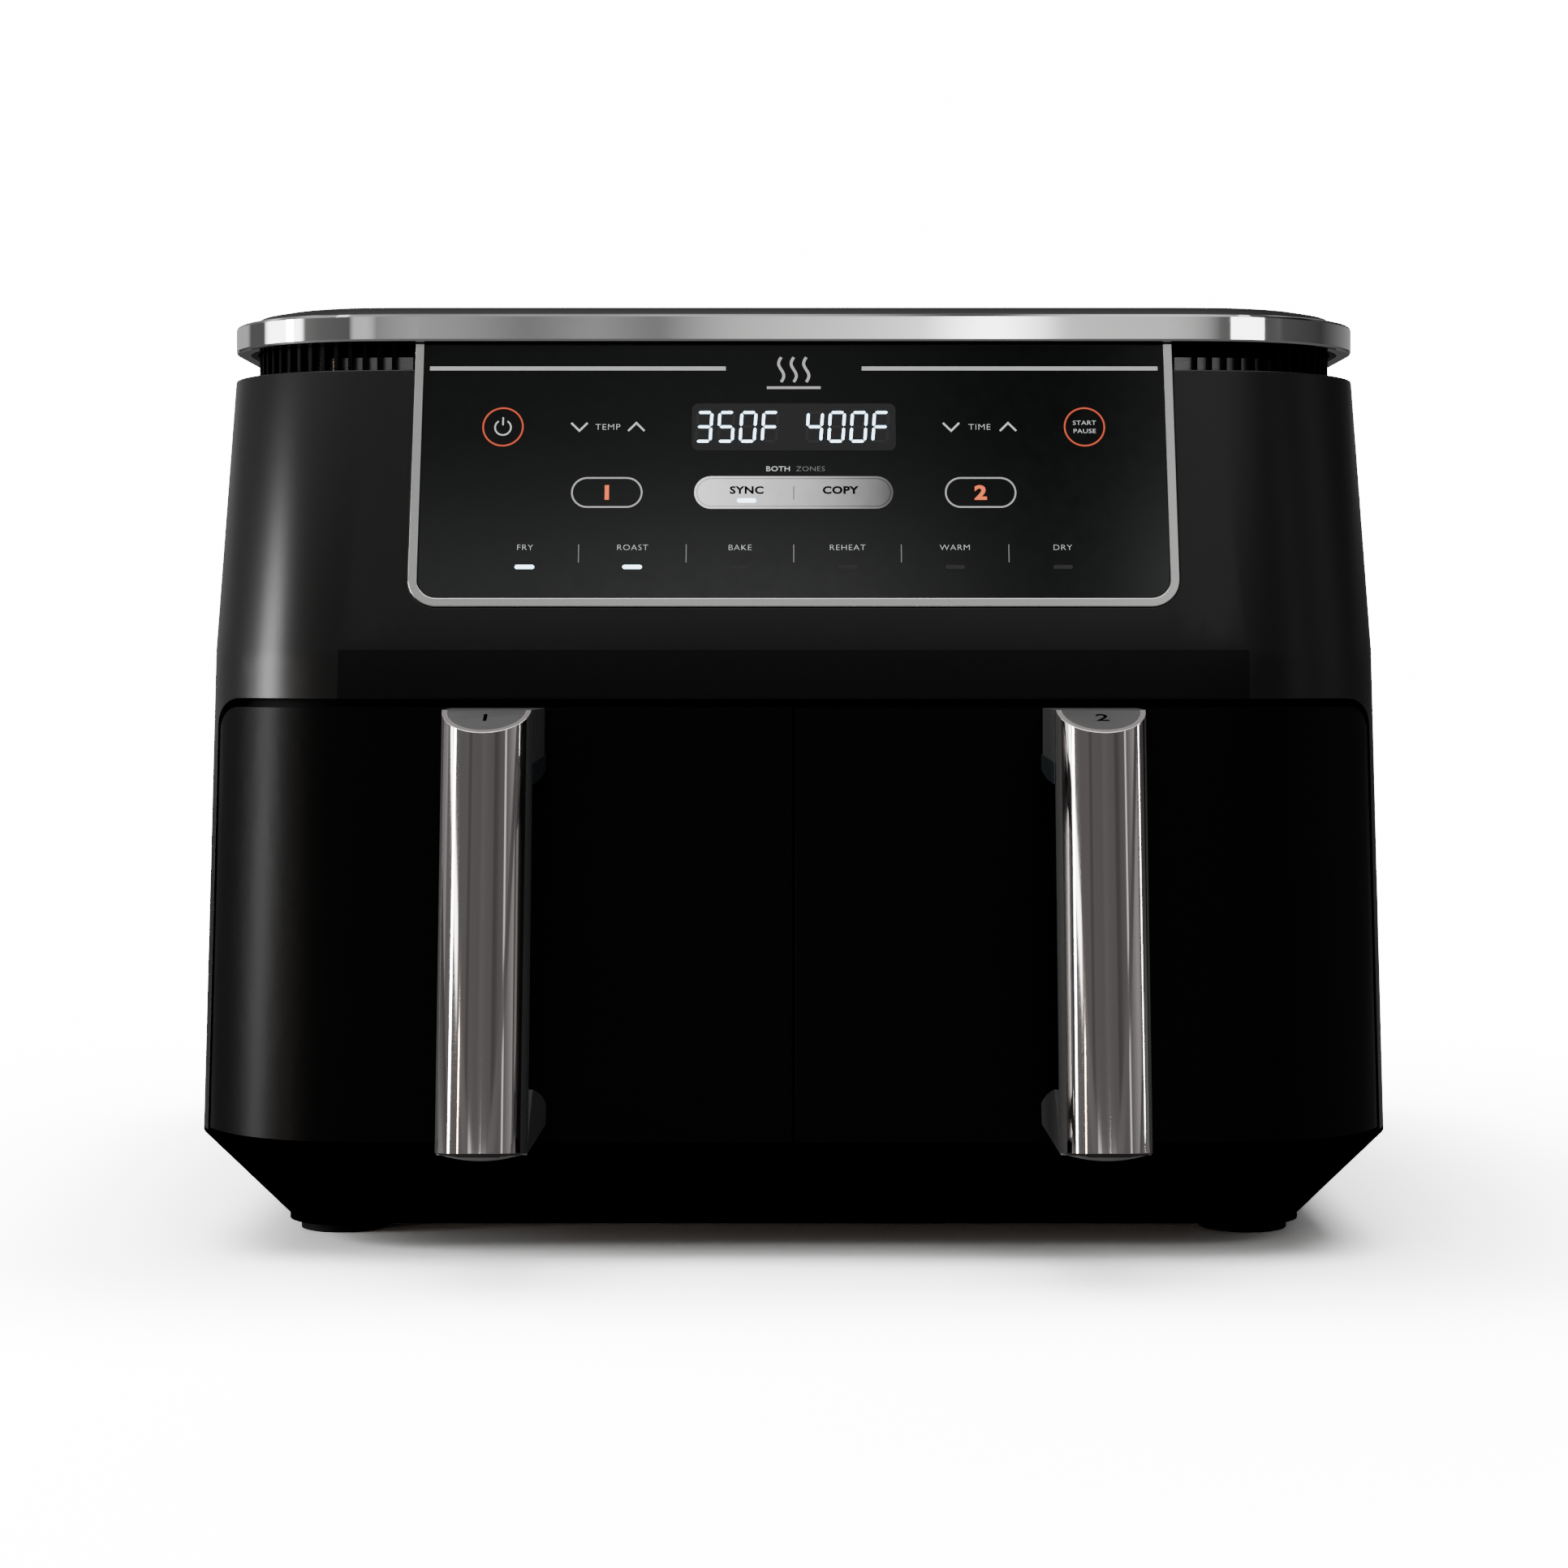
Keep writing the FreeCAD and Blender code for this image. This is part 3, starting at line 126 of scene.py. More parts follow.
def grey_ramp(tree, stops):
    """Ramp of grey shades, given as (position, shade)."""
    ramp = tree.nodes.new("ShaderNodeValToRGB")
    while len(ramp.color_ramp.elements) < len(stops):
        ramp.color_ramp.elements.new(0.5)
    for element, (position, shade) in zip(ramp.color_ramp.elements, stops):
        element.position = position
        element.color = (shade, shade, shade, 1)
    return ramp


def round_the_room(tree, bearing, stops):
    """Ramp over the bearing, in degrees from straight in front of the appliance, right positive."""
    ramp = grey_ramp(tree, [((degrees + 180) / 360, shade) for degrees, shade in stops])
    tree.links.new(bearing, ramp.inputs[0])
    return ramp.outputs["Color"]


# studio walls at the height that the trim ring reflects: bearing in degrees and shade
RING_WALLS = [(-180, 0.5), (-128, 0.6), (-122, 0.12), (-102, 0.12), (-97, 9.0), (-67, 9.0), (-63, 0.22),
              (-50, 0.16), (-28, 0.13), (-25, 0.85), (-19, 0.9), (-17, 0.35), (-8, 0.55), (-5.2, 0.2),
              (-3.9, 0.5), (-2.7, 0.22), (-1, 0.95), (1, 1.2), (3, 2.2), (4.2, 9.0), (5.0, 7.0),
              (5.6, 1.1), (7, 1.0), (13, 0.7), (17, 0.4), (20, 0.16), (48, 0.12), (57, 0.13),
              (62, 0.10), (100, 0.06), (180, 0.5)]
# a little above and below, where the handles and drawers reflect it
WALLS = [(-180, 0.5), (-125, 0.2), (-112, 0.3), (-108, 0.13), (-76, 0.12), (-60, 0.11), (-42, 0.115),
         (-35, 0.07), (-29, 0.11), (-8, 0.105), (0, 0.125), (14, 0.11), (26, 0.105), (31, 0.068),
         (38, 0.075), (44, 0.10), (57, 0.115), (58.5, 0.9), (61, 0.9), (62.5, 0.12), (70, 0.16),
         (78, 0.22), (88, 0.3), (96, 0.26), (104, 0.08), (120, 0.05), (128, 0.05), (150, 0.06), (180, 0.5)]
# higher up, where the upper casing and the glass reflect it
SKY = [(-180, 0.6), (-110, 0.9), (-80, 1.3), (-45, 1.0), (-15, 0.6), (-9, 0.62), (-6.5, 0.65), (-2, 1.0),
       (0, 0.95), (2, 0.8), (3.5, 0.5), (5, 0.15), (6.5, 0.03), (7.5, 0.3), (9, 1.5), (13, 1.7),
       (25, 1.2), (50, 0.2), (90, 0.06), (130, 0.08), (180, 0.6)]
SKY_HEIGHT = [(0.0, 1.0), (0.50, 1.1), (0.530, 1.35), (0.539, 1.1), (0.5476, 0.76), (0.558, 0.44),
              (0.566, 0.32), (0.576, 0.26), (0.60, 0.25), (0.68, 0.4), (0.82, 0.8), (1.0, 1.0)]

# sine of the elevation at the middle of the ring's band, half its width, and where the sky starts
RING_HEIGHT = 0.1015
RING_BAND = 0.0115
BAND_EDGE = 250.0
SKY_START = 0.47
SKY_EDGE = 25.0


def blended(tree, amount, first, second):
    """Colour that goes from the first to the second."""
    mix = tree.nodes.new("ShaderNodeMix")
    mix.data_type = "RGBA"
    for index, part in ((0, amount), (6, first), (7, second)):
        tree.links.new(part, mix.inputs[index])
    return mix.outputs[2]


def stepped(tree, number, start, edge):
    """Mask that rises from nought at a start, steeper for a greater edge."""
    socket = math_node(tree, "MULTIPLY", math_node(tree, "SUBTRACT", number, start), edge)
    socket.node.use_clamp = True
    return socket


def make_world():
    """Pale studio: white paper behind the appliance, and walls with soft panels for its reflections."""
    world = bpy.data.worlds.new("studio")
    world.use_nodes = True
    bpy.context.scene.world = world
    tree = world.node_tree
    tree.nodes.clear()
    link = tree.links.new
    where = tree.nodes.new("ShaderNodeTexCoord")
    split = tree.nodes.new("ShaderNodeSeparateXYZ")
    link(where.outputs["Generated"], split.inputs[0])
    forward = math_node(tree, "MULTIPLY", split.outputs["Y"], -1.0)
    turn = math_node(tree, "ARCTAN2", split.outputs["X"], forward)
    bearing = math_node(tree, "ADD", math_node(tree, "DIVIDE", turn, 2 * math.pi), 0.5)
    height = split.outputs["Z"]
    from_ring = math_node(tree, "ABSOLUTE", math_node(tree, "SUBTRACT", height, RING_HEIGHT))
    off_ring = stepped(tree, from_ring, RING_BAND, BAND_EDGE)
    in_sky = stepped(tree, height, SKY_START, SKY_EDGE)
    profile = grey_ramp(tree, SKY_HEIGHT)
    link(height, profile.inputs[0])
    sky = tree.nodes.new("ShaderNodeMix")
    sky.data_type = "RGBA"
    sky.blend_type = "MULTIPLY"
    sky.inputs[0].default_value = 1.0
    link(round_the_room(tree, bearing, SKY), sky.inputs[6])
    link(profile.outputs["Color"], sky.inputs[7])
    lower = blended(tree, off_ring, round_the_room(tree, bearing, RING_WALLS),
                    round_the_room(tree, bearing, WALLS))
    shade = blended(tree, in_sky, lower, sky.outputs[2])
    room = tree.nodes.new("ShaderNodeBackground")
    link(shade, room.inputs["Color"])
    paper = tree.nodes.new("ShaderNodeBackground")
    paper.inputs["Color"].default_value = (1, 1, 1, 1)
    paper.inputs["Strength"].default_value = PAPER_GLOW
    path = tree.nodes.new("ShaderNodeLightPath")
    mix = tree.nodes.new("ShaderNodeMixShader")
    out = tree.nodes.new("ShaderNodeOutputWorld")
    link(path.outputs["Is Camera Ray"], mix.inputs[0])
    link(room.outputs[0], mix.inputs[1])
    link(paper.outputs[0], mix.inputs[2])
    link(mix.outputs[0], out.inputs["Surface"])


def make_lights():
    """World, and lights given by their place, their aim, their size in metres and their power in watts."""
    make_world()
    soft_light("overhead", (0.0, -0.1, 1.9), (0, 0, 0), (2.4, 2.0), 30)
    soft_light("left_panel", (-0.95, -0.26, 0.22), (-0.1, -0.16, 0.12), (0.10, 0.52), 4.6)
    for_grips = soft_light("right_panel", (0.92, 0.10, 0.22), (0.1, -0.16, 0.12), (0.05, 0.52), 1.4)
    light_only(for_grips, "handle_shell_1_soft", "handle_shell_2_soft")
    for_ring = soft_light("ring_panel", (1.336, -1.738, 0.504), (0.16, -0.12, 0.30), (0.87, 0.12), 2.9)
    light_only(for_ring, "trim_ring_soft")
    soft_light("warm_glint", (-1.75, -1.30, 0.20), (0, -0.16, 0.08), (0.07, 0.16), 1.6, (1, 0.72, 0.5))


# half the width and depth of the footprint, its middle, and the reach of the painted shadow round it, in
# metres
FOOTPRINT = (0.165, 0.124)
FOOTPRINT_MIDDLE = 0.036
PAINTED_SHADOW_REACH = 0.2
# painted shadow: distance out from the footprint, as a share of its reach, and how far the paper is dimmed
# there
PAINTED_SHADOW_RAMP = [(0.0, 0.22), (0.15, 0.40), (0.29, 0.50), (0.41, 0.60), (0.69, 0.92), (0.9, 1.0)]


def contact_shade(tree, where):
    """Painted contact shadow: paper colour, dimmer under the appliance and close round it, on top of the
    shadow that the lights cast.
    """
    link = tree.links.new
    split = tree.nodes.new("ShaderNodeSeparateXYZ")
    link(where, split.inputs[0])
    squares = []
    for axis, half, middle in (("X", FOOTPRINT[0], 0.0), ("Y", FOOTPRINT[1], FOOTPRINT_MIDDLE)):
        centred = math_node(tree, "SUBTRACT", split.outputs[axis], middle)
        beyond = math_node(tree, "SUBTRACT", math_node(tree, "ABSOLUTE", centred), half)
        outside = math_node(tree, "MAXIMUM", beyond, 0.0)
        squares.append(math_node(tree, "MULTIPLY", outside, outside))
    away = math_node(tree, "SQRT", math_node(tree, "ADD", *squares))
    ramp = grey_ramp(tree, PAINTED_SHADOW_RAMP)
    link(math_node(tree, "MULTIPLY", away, 1 / PAINTED_SHADOW_REACH), ramp.inputs[0])
    gain = tree.nodes.new("ShaderNodeVectorMath")
    gain.operation = "SCALE"
    gain.inputs["Scale"].default_value = PAPER_GAIN
    link(ramp.outputs["Color"], gain.inputs[0])
    return gain.outputs[0]


def floor_paper():
    """White paper with a painted contact shadow round the appliance, that brightens to the colour of the
    backdrop away from it.
    """
    paint = bpy.data.materials.new("floor_paper")
    paint.use_nodes = True
    tree = paint.node_tree
    tree.nodes.clear()
    link = tree.links.new
    where = tree.nodes.new("ShaderNodeTexCoord")
    reach = tree.nodes.new("ShaderNodeVectorMath")
    reach.operation = "LENGTH"
    link(where.outputs["Object"], reach.inputs[0])
    fade = tree.nodes.new("ShaderNodeMapRange")
    fade.interpolation_type = "SMOOTHSTEP"
    fade.inputs["From Min"].default_value = FADE_NEAR
    fade.inputs["From Max"].default_value = FADE_FAR
    link(reach.outputs["Value"], fade.inputs["Value"])
    plain = tree.nodes.new("ShaderNodeBsdfDiffuse")
    plain.inputs["Color"].default_value = (PAPER_GREY, PAPER_GREY, PAPER_GREY, 1)
    lit = tree.nodes.new("ShaderNodeBsdfDiffuse")
    link(contact_shade(tree, where.outputs["Object"]), lit.inputs["Color"])
    glow = tree.nodes.new("ShaderNodeEmission")
    glow.inputs["Strength"].default_value = PAPER_GLOW
    path = tree.nodes.new("ShaderNodeLightPath")
    near = tree.nodes.new("ShaderNodeMixShader")
    whole = tree.nodes.new("ShaderNodeMixShader")
    out = tree.nodes.new("ShaderNodeOutputMaterial")
    link(fade.outputs["Result"], near.inputs[0])
    link(lit.outputs[0], near.inputs[1])
    link(glow.outputs[0], near.inputs[2])
    link(path.outputs["Is Camera Ray"], whole.inputs[0])
    link(plain.outputs[0], whole.inputs[1])
    link(near.outputs[0], whole.inputs[2])
    link(whole.outputs[0], out.inputs["Surface"])
    return paint


def make_floor():
    """Wide level sheet that the appliance stands on."""
    mesh = bpy.data.meshes.new("floor")
    made = bmesh.new()
    bmesh.ops.create_grid(made, x_segments=1, y_segments=1, size=PAPER_HALF)
    made.to_mesh(mesh)
    made.free()
    floor = bpy.data.objects.new("floor", mesh)
    bpy.context.scene.collection.objects.link(floor)
    mesh.materials.append(floor_paper())


# ---------------------------------------------------------------- shader groups
def new_group(name, inputs, outputs):
    """Empty shader group with named sockets, and its two ends."""
    tree = bpy.data.node_groups.new(name, "ShaderNodeTree")
    for label, kind, default in inputs:
        socket = tree.interface.new_socket(label, in_out="INPUT", socket_type=kind)
        socket.default_value = default
    for label, kind in outputs:
        tree.interface.new_socket(label, in_out="OUTPUT", socket_type=kind)
    entry = tree.nodes.new("NodeGroupInput")
    leave = tree.nodes.new("NodeGroupOutput")
    return tree, entry, leave


GRAIN_ROUGH = 0.05
TINT_SPREAD = 0.25
MARK_LOW = 0.82


def moulded_group():
    """Fine moulded grain: a bump height, a roughness and a colour that vary a little."""
    tree, entry, leave = new_group(
        "moulded_grain",
        [("Base", "NodeSocketColor", (0.02, 0.02, 0.02, 1)), ("Grain Size", "NodeSocketFloat", 1400.0),
         ("Roughness", "NodeSocketFloat", 0.4), ("Spread", "NodeSocketFloat", 0.06)],
        [("Colour", "NodeSocketColor"), ("Roughness", "NodeSocketFloat"), ("Height", "NodeSocketFloat")])
    link = tree.links.new
    where = tree.nodes.new("ShaderNodeTexCoord")
    fine = tree.nodes.new("ShaderNodeTexNoise")
    fine.inputs["Detail"].default_value = 3
    link(where.outputs["Object"], fine.inputs["Vector"])
    link(entry.outputs["Grain Size"], fine.inputs["Scale"])
    broad = tree.nodes.new("ShaderNodeTexNoise")
    broad.inputs["Scale"].default_value = 9
    broad.inputs["Detail"].default_value = 4
    link(where.outputs["Object"], broad.inputs["Vector"])
    shift = math_node(tree, "SUBTRACT", broad.outputs["Fac"], 0.5)
    spread = math_node(tree, "MULTIPLY", shift, entry.outputs["Spread"])
    grainy = math_node(tree, "MULTIPLY", math_node(tree, "SUBTRACT", fine.outputs["Fac"], 0.5), GRAIN_ROUGH)
    rough = math_node(tree, "ADD", entry.outputs["Roughness"], math_node(tree, "ADD", spread, grainy))
    tint = tree.nodes.new("ShaderNodeHueSaturation")
    link(entry.outputs["Base"], tint.inputs["Color"])
    link(math_node(tree, "ADD", 1.0, math_node(tree, "MULTIPLY", shift, TINT_SPREAD)), tint.inputs["Value"])
    link(tint.outputs[0], leave.inputs["Colour"])
    link(rough, leave.inputs["Roughness"])
    link(fine.outputs["Fac"], leave.inputs["Height"])
    return tree


def brushed_group():
    """Fine drawn lines along X and faint smears, for metal."""
    tree, entry, leave = new_group(
        "brushed_lines",
        [("Base", "NodeSocketColor", (0.6, 0.6, 0.6, 1)), ("Line Size", "NodeSocketFloat", 900.0),
         ("Roughness", "NodeSocketFloat", 0.15), ("Spread", "NodeSocketFloat", 0.05)],
        [("Colour", "NodeSocketColor"), ("Roughness", "NodeSocketFloat"), ("Height", "NodeSocketFloat")])
    link = tree.links.new
    where = tree.nodes.new("ShaderNodeTexCoord")
    stretch = tree.nodes.new("ShaderNodeMapping")
    stretch.inputs["Scale"].default_value = (0.02, 0.02, 1)
    link(where.outputs["Object"], stretch.inputs["Vector"])
    lines = tree.nodes.new("ShaderNodeTexNoise")
    lines.inputs["Detail"].default_value = 3
    link(stretch.outputs[0], lines.inputs["Vector"])
    link(entry.outputs["Line Size"], lines.inputs["Scale"])
    smear = tree.nodes.new("ShaderNodeTexNoise")
    smear.inputs["Scale"].default_value = 14
    smear.inputs["Detail"].default_value = 5
    link(where.outputs["Object"], smear.inputs["Vector"])
    change = math_node(tree, "MULTIPLY", math_node(tree, "SUBTRACT", smear.outputs["Fac"], 0.5),
                       entry.outputs["Spread"])
    streak = math_node(tree, "MULTIPLY", math_node(tree, "SUBTRACT", lines.outputs["Fac"], 0.5),
                       entry.outputs["Spread"])
    rough = math_node(tree, "ADD", entry.outputs["Roughness"], math_node(tree, "ADD", change, streak))
    tint = tree.nodes.new("ShaderNodeHueSaturation")
    link(entry.outputs["Base"], tint.inputs["Color"])
    link(math_node(tree, "ADD", 1.0, change), tint.inputs["Value"])
    link(tint.outputs[0], leave.inputs["Colour"])
    link(math_node(tree, "MAXIMUM", rough, 0.02), leave.inputs["Roughness"])
    link(lines.outputs["Fac"], leave.inputs["Height"])
    return tree


RELIEF_HEIGHT = 0.0002
MOULDED = moulded_group()
BRUSHED = brushed_group()


def surface(name, group, base, size, rough, spread, bump, metallic=0.0, specular=0.5):
    """Material with a shader group for its colour, roughness and fine relief."""
    material = bpy.data.materials.new(name)
    material.use_nodes = True
    tree = material.node_tree
    shader = tree.nodes["Principled BSDF"]
    detail = tree.nodes.new("ShaderNodeGroup")
    detail.node_tree = group
    detail.inputs[0].default_value = (*base, 1)
    detail.inputs[1].default_value = size
    detail.inputs["Roughness"].default_value = rough
    detail.inputs["Spread"].default_value = spread
    relief = tree.nodes.new("ShaderNodeBump")
    relief.inputs["Strength"].default_value = bump
    relief.inputs["Distance"].default_value = RELIEF_HEIGHT
    link = tree.links.new
    link(detail.outputs["Colour"], shader.inputs["Base Color"])
    link(detail.outputs["Roughness"], shader.inputs["Roughness"])
    link(detail.outputs["Height"], relief.inputs["Height"])
    link(relief.outputs["Normal"], shader.inputs["Normal"])
    shader.inputs["Metallic"].default_value = metallic
    shader.inputs["Specular IOR Level"].default_value = specular
    return material


def glowing(name, colour, strength, fade=None):
    """Printed or lit mark on the panel, slightly uneven, that glows; on printed marks the glow is painted
    light, and a fade that dims it towards the right is a painted reflection.
    """
    material = bpy.data.materials.new(name)
    material.use_nodes = True
    tree = material.node_tree
    shader = tree.nodes["Principled BSDF"]
    where = tree.nodes.new("ShaderNodeTexCoord")
    cloud = tree.nodes.new("ShaderNodeTexNoise")
    cloud.inputs["Scale"].default_value = 260
    ramp = tree.nodes.new("ShaderNodeMix")
    ramp.data_type = "RGBA"
    ramp.inputs[6].default_value = (*[part * MARK_LOW for part in colour], 1)
    ramp.inputs[7].default_value = (*colour, 1)
    link = tree.links.new
    link(where.outputs["Object"], cloud.inputs["Vector"])
    link(cloud.outputs["Fac"], ramp.inputs[0])
    if fade:
        half, least = fade
        split = tree.nodes.new("ShaderNodeSeparateXYZ")
        link(where.outputs["Object"], split.inputs[0])
        across = tree.nodes.new("ShaderNodeMapRange")
        for socket, number in (("From Min", -half), ("From Max", half), ("To Min", 1.0), ("To Max", least)):
            across.inputs[socket].default_value = number
        link(split.outputs["X"], across.inputs["Value"])
        dimmed = tree.nodes.new("ShaderNodeVectorMath")
        dimmed.operation = "SCALE"
        link(ramp.outputs[2], dimmed.inputs[0])
        link(across.outputs["Result"], dimmed.inputs["Scale"])
        mark = dimmed.outputs[0]
    else:
        mark = ramp.outputs[2]
    link(mark, shader.inputs["Base Color"])
    link(mark, shader.inputs["Emission Color"])
    shader.inputs["Emission Strength"].default_value = strength
    shader.inputs["Roughness"].default_value = 0.35
    return material


PAINT = {
    "housing_black": surface("housing_black", MOULDED, (0.0025, 0.0025, 0.0025), 2600, 0.31, 0.05, 0.06,
                             specular=0.5),
    "cover_black": surface("cover_black", MOULDED, (0.002, 0.002, 0.002), 2200, 0.42, 0.06, 0.08,
                           specular=0.15),
    "drawer_black": surface("drawer_black", MOULDED, (0.0005, 0.0005, 0.0005), 2600, 0.36, 0.05, 0.06,
                            specular=0.10),
    "inner_black": surface("inner_black", MOULDED, (0.0015, 0.0015, 0.0015), 1500, 0.55, 0.06, 0.15,
                           specular=0.08),
    "vent_grey": surface("vent_grey", BRUSHED, (0.55, 0.55, 0.55), 1500, 0.28, 0.06, 0.05, 1.0),
    "ring_steel": surface("ring_steel", BRUSHED, (0.72, 0.715, 0.71), 1500, 0.045, 0.02, 0.0, 1.0),
    "handle_chrome": surface("handle_chrome", BRUSHED, (0.86, 0.80, 0.785), 1500, 0.05, 0.02, 0.0, 1.0),
    "handle_grey": surface("handle_grey", MOULDED, (0.070, 0.069, 0.070), 1800, 0.40, 0.06, 0.10,
                           specular=0.3),
    # painted shade: the mount is a darker, bluish copy of the grip's grey, for the same grey plastic in
    # shade
    "mount_grey": surface("mount_grey", MOULDED, (0.020, 0.026, 0.030), 1800, 0.36, 0.06, 0.08,
                          specular=0.4),
    "panel_black_glass": surface("panel_black_glass", MOULDED, (0.0012, 0.0020, 0.0020), 200, 0.11, 0.02,
                                 0.0, specular=0.5),
    "display_dark": surface("display_dark", MOULDED, (0.012, 0.013, 0.015), 300, 0.15, 0.03, 0.0),
    "board_green": surface("board_green", MOULDED, (0.02, 0.12, 0.05), 700, 0.45, 0.10, 0.2),
    "liner_steel": surface("liner_steel", BRUSHED, (0.50, 0.50, 0.49), 700, 0.34, 0.12, 0.15, 1.0),
    "coated_metal": surface("coated_metal", MOULDED, (0.022, 0.022, 0.024), 1600, 0.36, 0.10, 0.25),
    "silicone": surface("silicone", MOULDED, (0.03, 0.03, 0.03), 900, 0.62, 0.06, 0.15),
    "foot_rubber": surface("foot_rubber", MOULDED, (0.004, 0.004, 0.004), 900, 0.7, 0.06, 0.2,
                           specular=0.2),
    "wire_steel": surface("wire_steel", BRUSHED, (0.55, 0.55, 0.54), 900, 0.25, 0.10, 0.1, 1.0),
    "heater_dark": surface("heater_dark", BRUSHED, (0.16, 0.14, 0.12), 700, 0.42, 0.16, 0.2, 1.0),
    "fan_aluminium": surface("fan_aluminium", BRUSHED, (0.70, 0.70, 0.70), 900, 0.28, 0.10, 0.1, 1.0),
    "fan_plastic": surface("fan_plastic", MOULDED, (0.04, 0.04, 0.045), 1200, 0.45, 0.08, 0.15),
    "motor_steel": surface("motor_steel", BRUSHED, (0.40, 0.40, 0.41), 900, 0.36, 0.12, 0.15, 0.9),
}
# painted shade: the base pan is near-black with no specular, so it shows none of the floor's reflection
# where it faces down under the appliance
BASE_PAINTED_SHADE = surface("base_painted_shade", MOULDED, (0.0004, 0.0004, 0.0004), 2400, 0.75, 0.06, 0.08,
                     specular=0.0)
# painted light: pale grey on the underside of each grip's foot, for the light it catches from the floor
FOOT_PAINTED_LIGHT = surface("foot_painted_light", MOULDED, (0.62, 0.61, 0.61), 1800, 0.40, 0.06, 0.05)
# painted shade: darker, less glossy copy of the casing's black for its front below the crease, which faces
# the light less
FRONT_PAINTED_SHADE = surface("front_painted_shade", MOULDED, (0.0010, 0.0010, 0.0010), 2600, 0.31, 0.05, 0.06,
                      specular=0.28)
FRAME_SILVER = surface("frame_silver", BRUSHED, (0.86, 0.86, 0.84), 1800, 0.24, 0.05, 0.02, 1.0)
# painted light: the printed marks glow though they are only print, for the studio light they catch; the
# silver pill also gets a painted reflection that fades towards the right
MARK_WHITE = glowing("mark_white", (0.62, 0.64, 0.66), 0.85)
MARK_GREY = glowing("mark_grey", (0.30, 0.31, 0.32), 0.35)
MARK_SILVER = glowing("mark_silver", (0.46, 0.45, 0.46), 0.75)
PILL_PAINTED_SHEEN = glowing("pill_painted_sheen", (0.62, 0.61, 0.62), 2.0, (0.036, 0.03))
MARK_ORANGE = glowing("mark_orange", (0.80, 0.10, 0.04), 0.55)
LIT_BLUE = glowing("lit_blue", (0.55, 0.80, 1.0), 7.0)
LIT_ORANGE = glowing("lit_orange", (1.0, 0.16, 0.05), 1.1)
# painted light: unlit segments and the display window glow faintly too; only the lit digits, lamps and lit
# numbers are lamps
UNLIT = glowing("unlit", (0.020, 0.019, 0.020), 0.5)
DISPLAY_WINDOW = glowing("display_window", (0.010, 0.010, 0.011), 0.5)
DARK_PRINT = surface("dark_print", MOULDED, (0.002, 0.002, 0.002), 1800, 0.6, 0.05, 0.0, specular=0.1)
ENGRAVED = surface("engraved_grey", MOULDED, (0.001, 0.001, 0.001), 1800, 0.6, 0.05, 0.0, specular=0.0)


# ---------------------------------------------------------------- pieces
SLOT_OF = {entry["node"]: entry["material_slot"] for entry in frame["record"]["subparts"]}
BODY_OF = {node: body for body, members in frame["record"]["behaviour"]["bodies"].items()
           for node in members}


def add_piece(name, mesh, body, slot, material=None):
    """Piece that rides on a body, with the material of its slot or one of its own."""
    piece = bpy.data.objects.new(name, mesh)
    bpy.context.scene.collection.objects.link(piece)
    mesh.materials.clear()
    mesh.materials.append(material or PAINT[slot])
    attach(piece, body)
    return piece


def paint_frame():
    """Give every carried-over node the material of its slot; the base pan gets the painted-shade black
    instead.
    """
    for name, item in NODES.items():
        material = PAINT[SLOT_OF[name]]
        if name == "base_pan":
            material = BASE_PAINTED_SHADE
        for place in item.material_slots:
            place.material = material


MERGE_DISTANCE = 0.000004
FLAT_ANGLE = math.radians(0.4)
EDGE_STEPS = 3


def softened(node, width, sharp=30, material=None):
    """Copy of a node with its sharp edges rounded over, which stands for it."""
    mesh = NODES[node].data.copy()
    mesh.name = node + "_soft"
    made = bmesh.new()
    made.from_mesh(mesh)
    bmesh.ops.remove_doubles(made, verts=made.verts, dist=MERGE_DISTANCE)
    bmesh.ops.dissolve_limit(made, angle_limit=FLAT_ANGLE, verts=made.verts, edges=made.edges)
    for face in made.faces:
        face.smooth = True
    limit = math.radians(sharp)
    for edge in made.edges:
        edge.smooth = not (edge.is_manifold and edge.calc_face_angle(0) > limit)
    made.to_mesh(mesh)
    made.free()
    piece = add_piece(node + "_soft", mesh, BODY_OF[node], SLOT_OF[node], material)
    if width:
        bevel = piece.modifiers.new("edge_radius", "BEVEL")
        bevel.width = width * MM
        bevel.segments = EDGE_STEPS
        bevel.limit_method = "ANGLE"
        bevel.angle_limit = limit
        bevel.harden_normals = True
        bevel.use_clamp_overlap = True
    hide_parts(node)
    return piece


def darken_front():
    """Painted shade: a darker, less glossy copy of the casing's black on the part of its front below the
    crease.
    """
    mesh = bpy.data.objects["housing_shell_soft"].data
    mesh.materials.append(FRONT_PAINTED_SHADE)
    for face in mesh.polygons:
        middle = face.center / MM
        if middle.z < SHADED_FRONT_TOP and abs(middle.x) < SHADED_FRONT_HALF and middle.y < 0:
            face.material_index = 1


def finish_grips():
    """Grey moulded sides behind the polished front of each grip, and painted floor light on its domed foot:
    a pale grey in place of the light it would catch from the floor.
    """
    for number in (1, 2):
        core = bpy.data.objects[f"handle_core_{number}_soft"].data
        core.materials.append(FOOT_PAINTED_LIGHT)
        for face in core.polygons:
            middle = face.center / MM
            if middle.z < FOOT_TOP and middle.y < -FOOT_FRONT:
                face.material_index = 1
        mesh = bpy.data.objects[f"handle_shell_{number}_soft"].data
        mesh.materials.append(PAINT["handle_grey"])
        for face in mesh.polygons:
            if abs(math.atan2(face.normal.x, -face.normal.y)) > CHEEK_ANGLE:
                face.material_index = 1


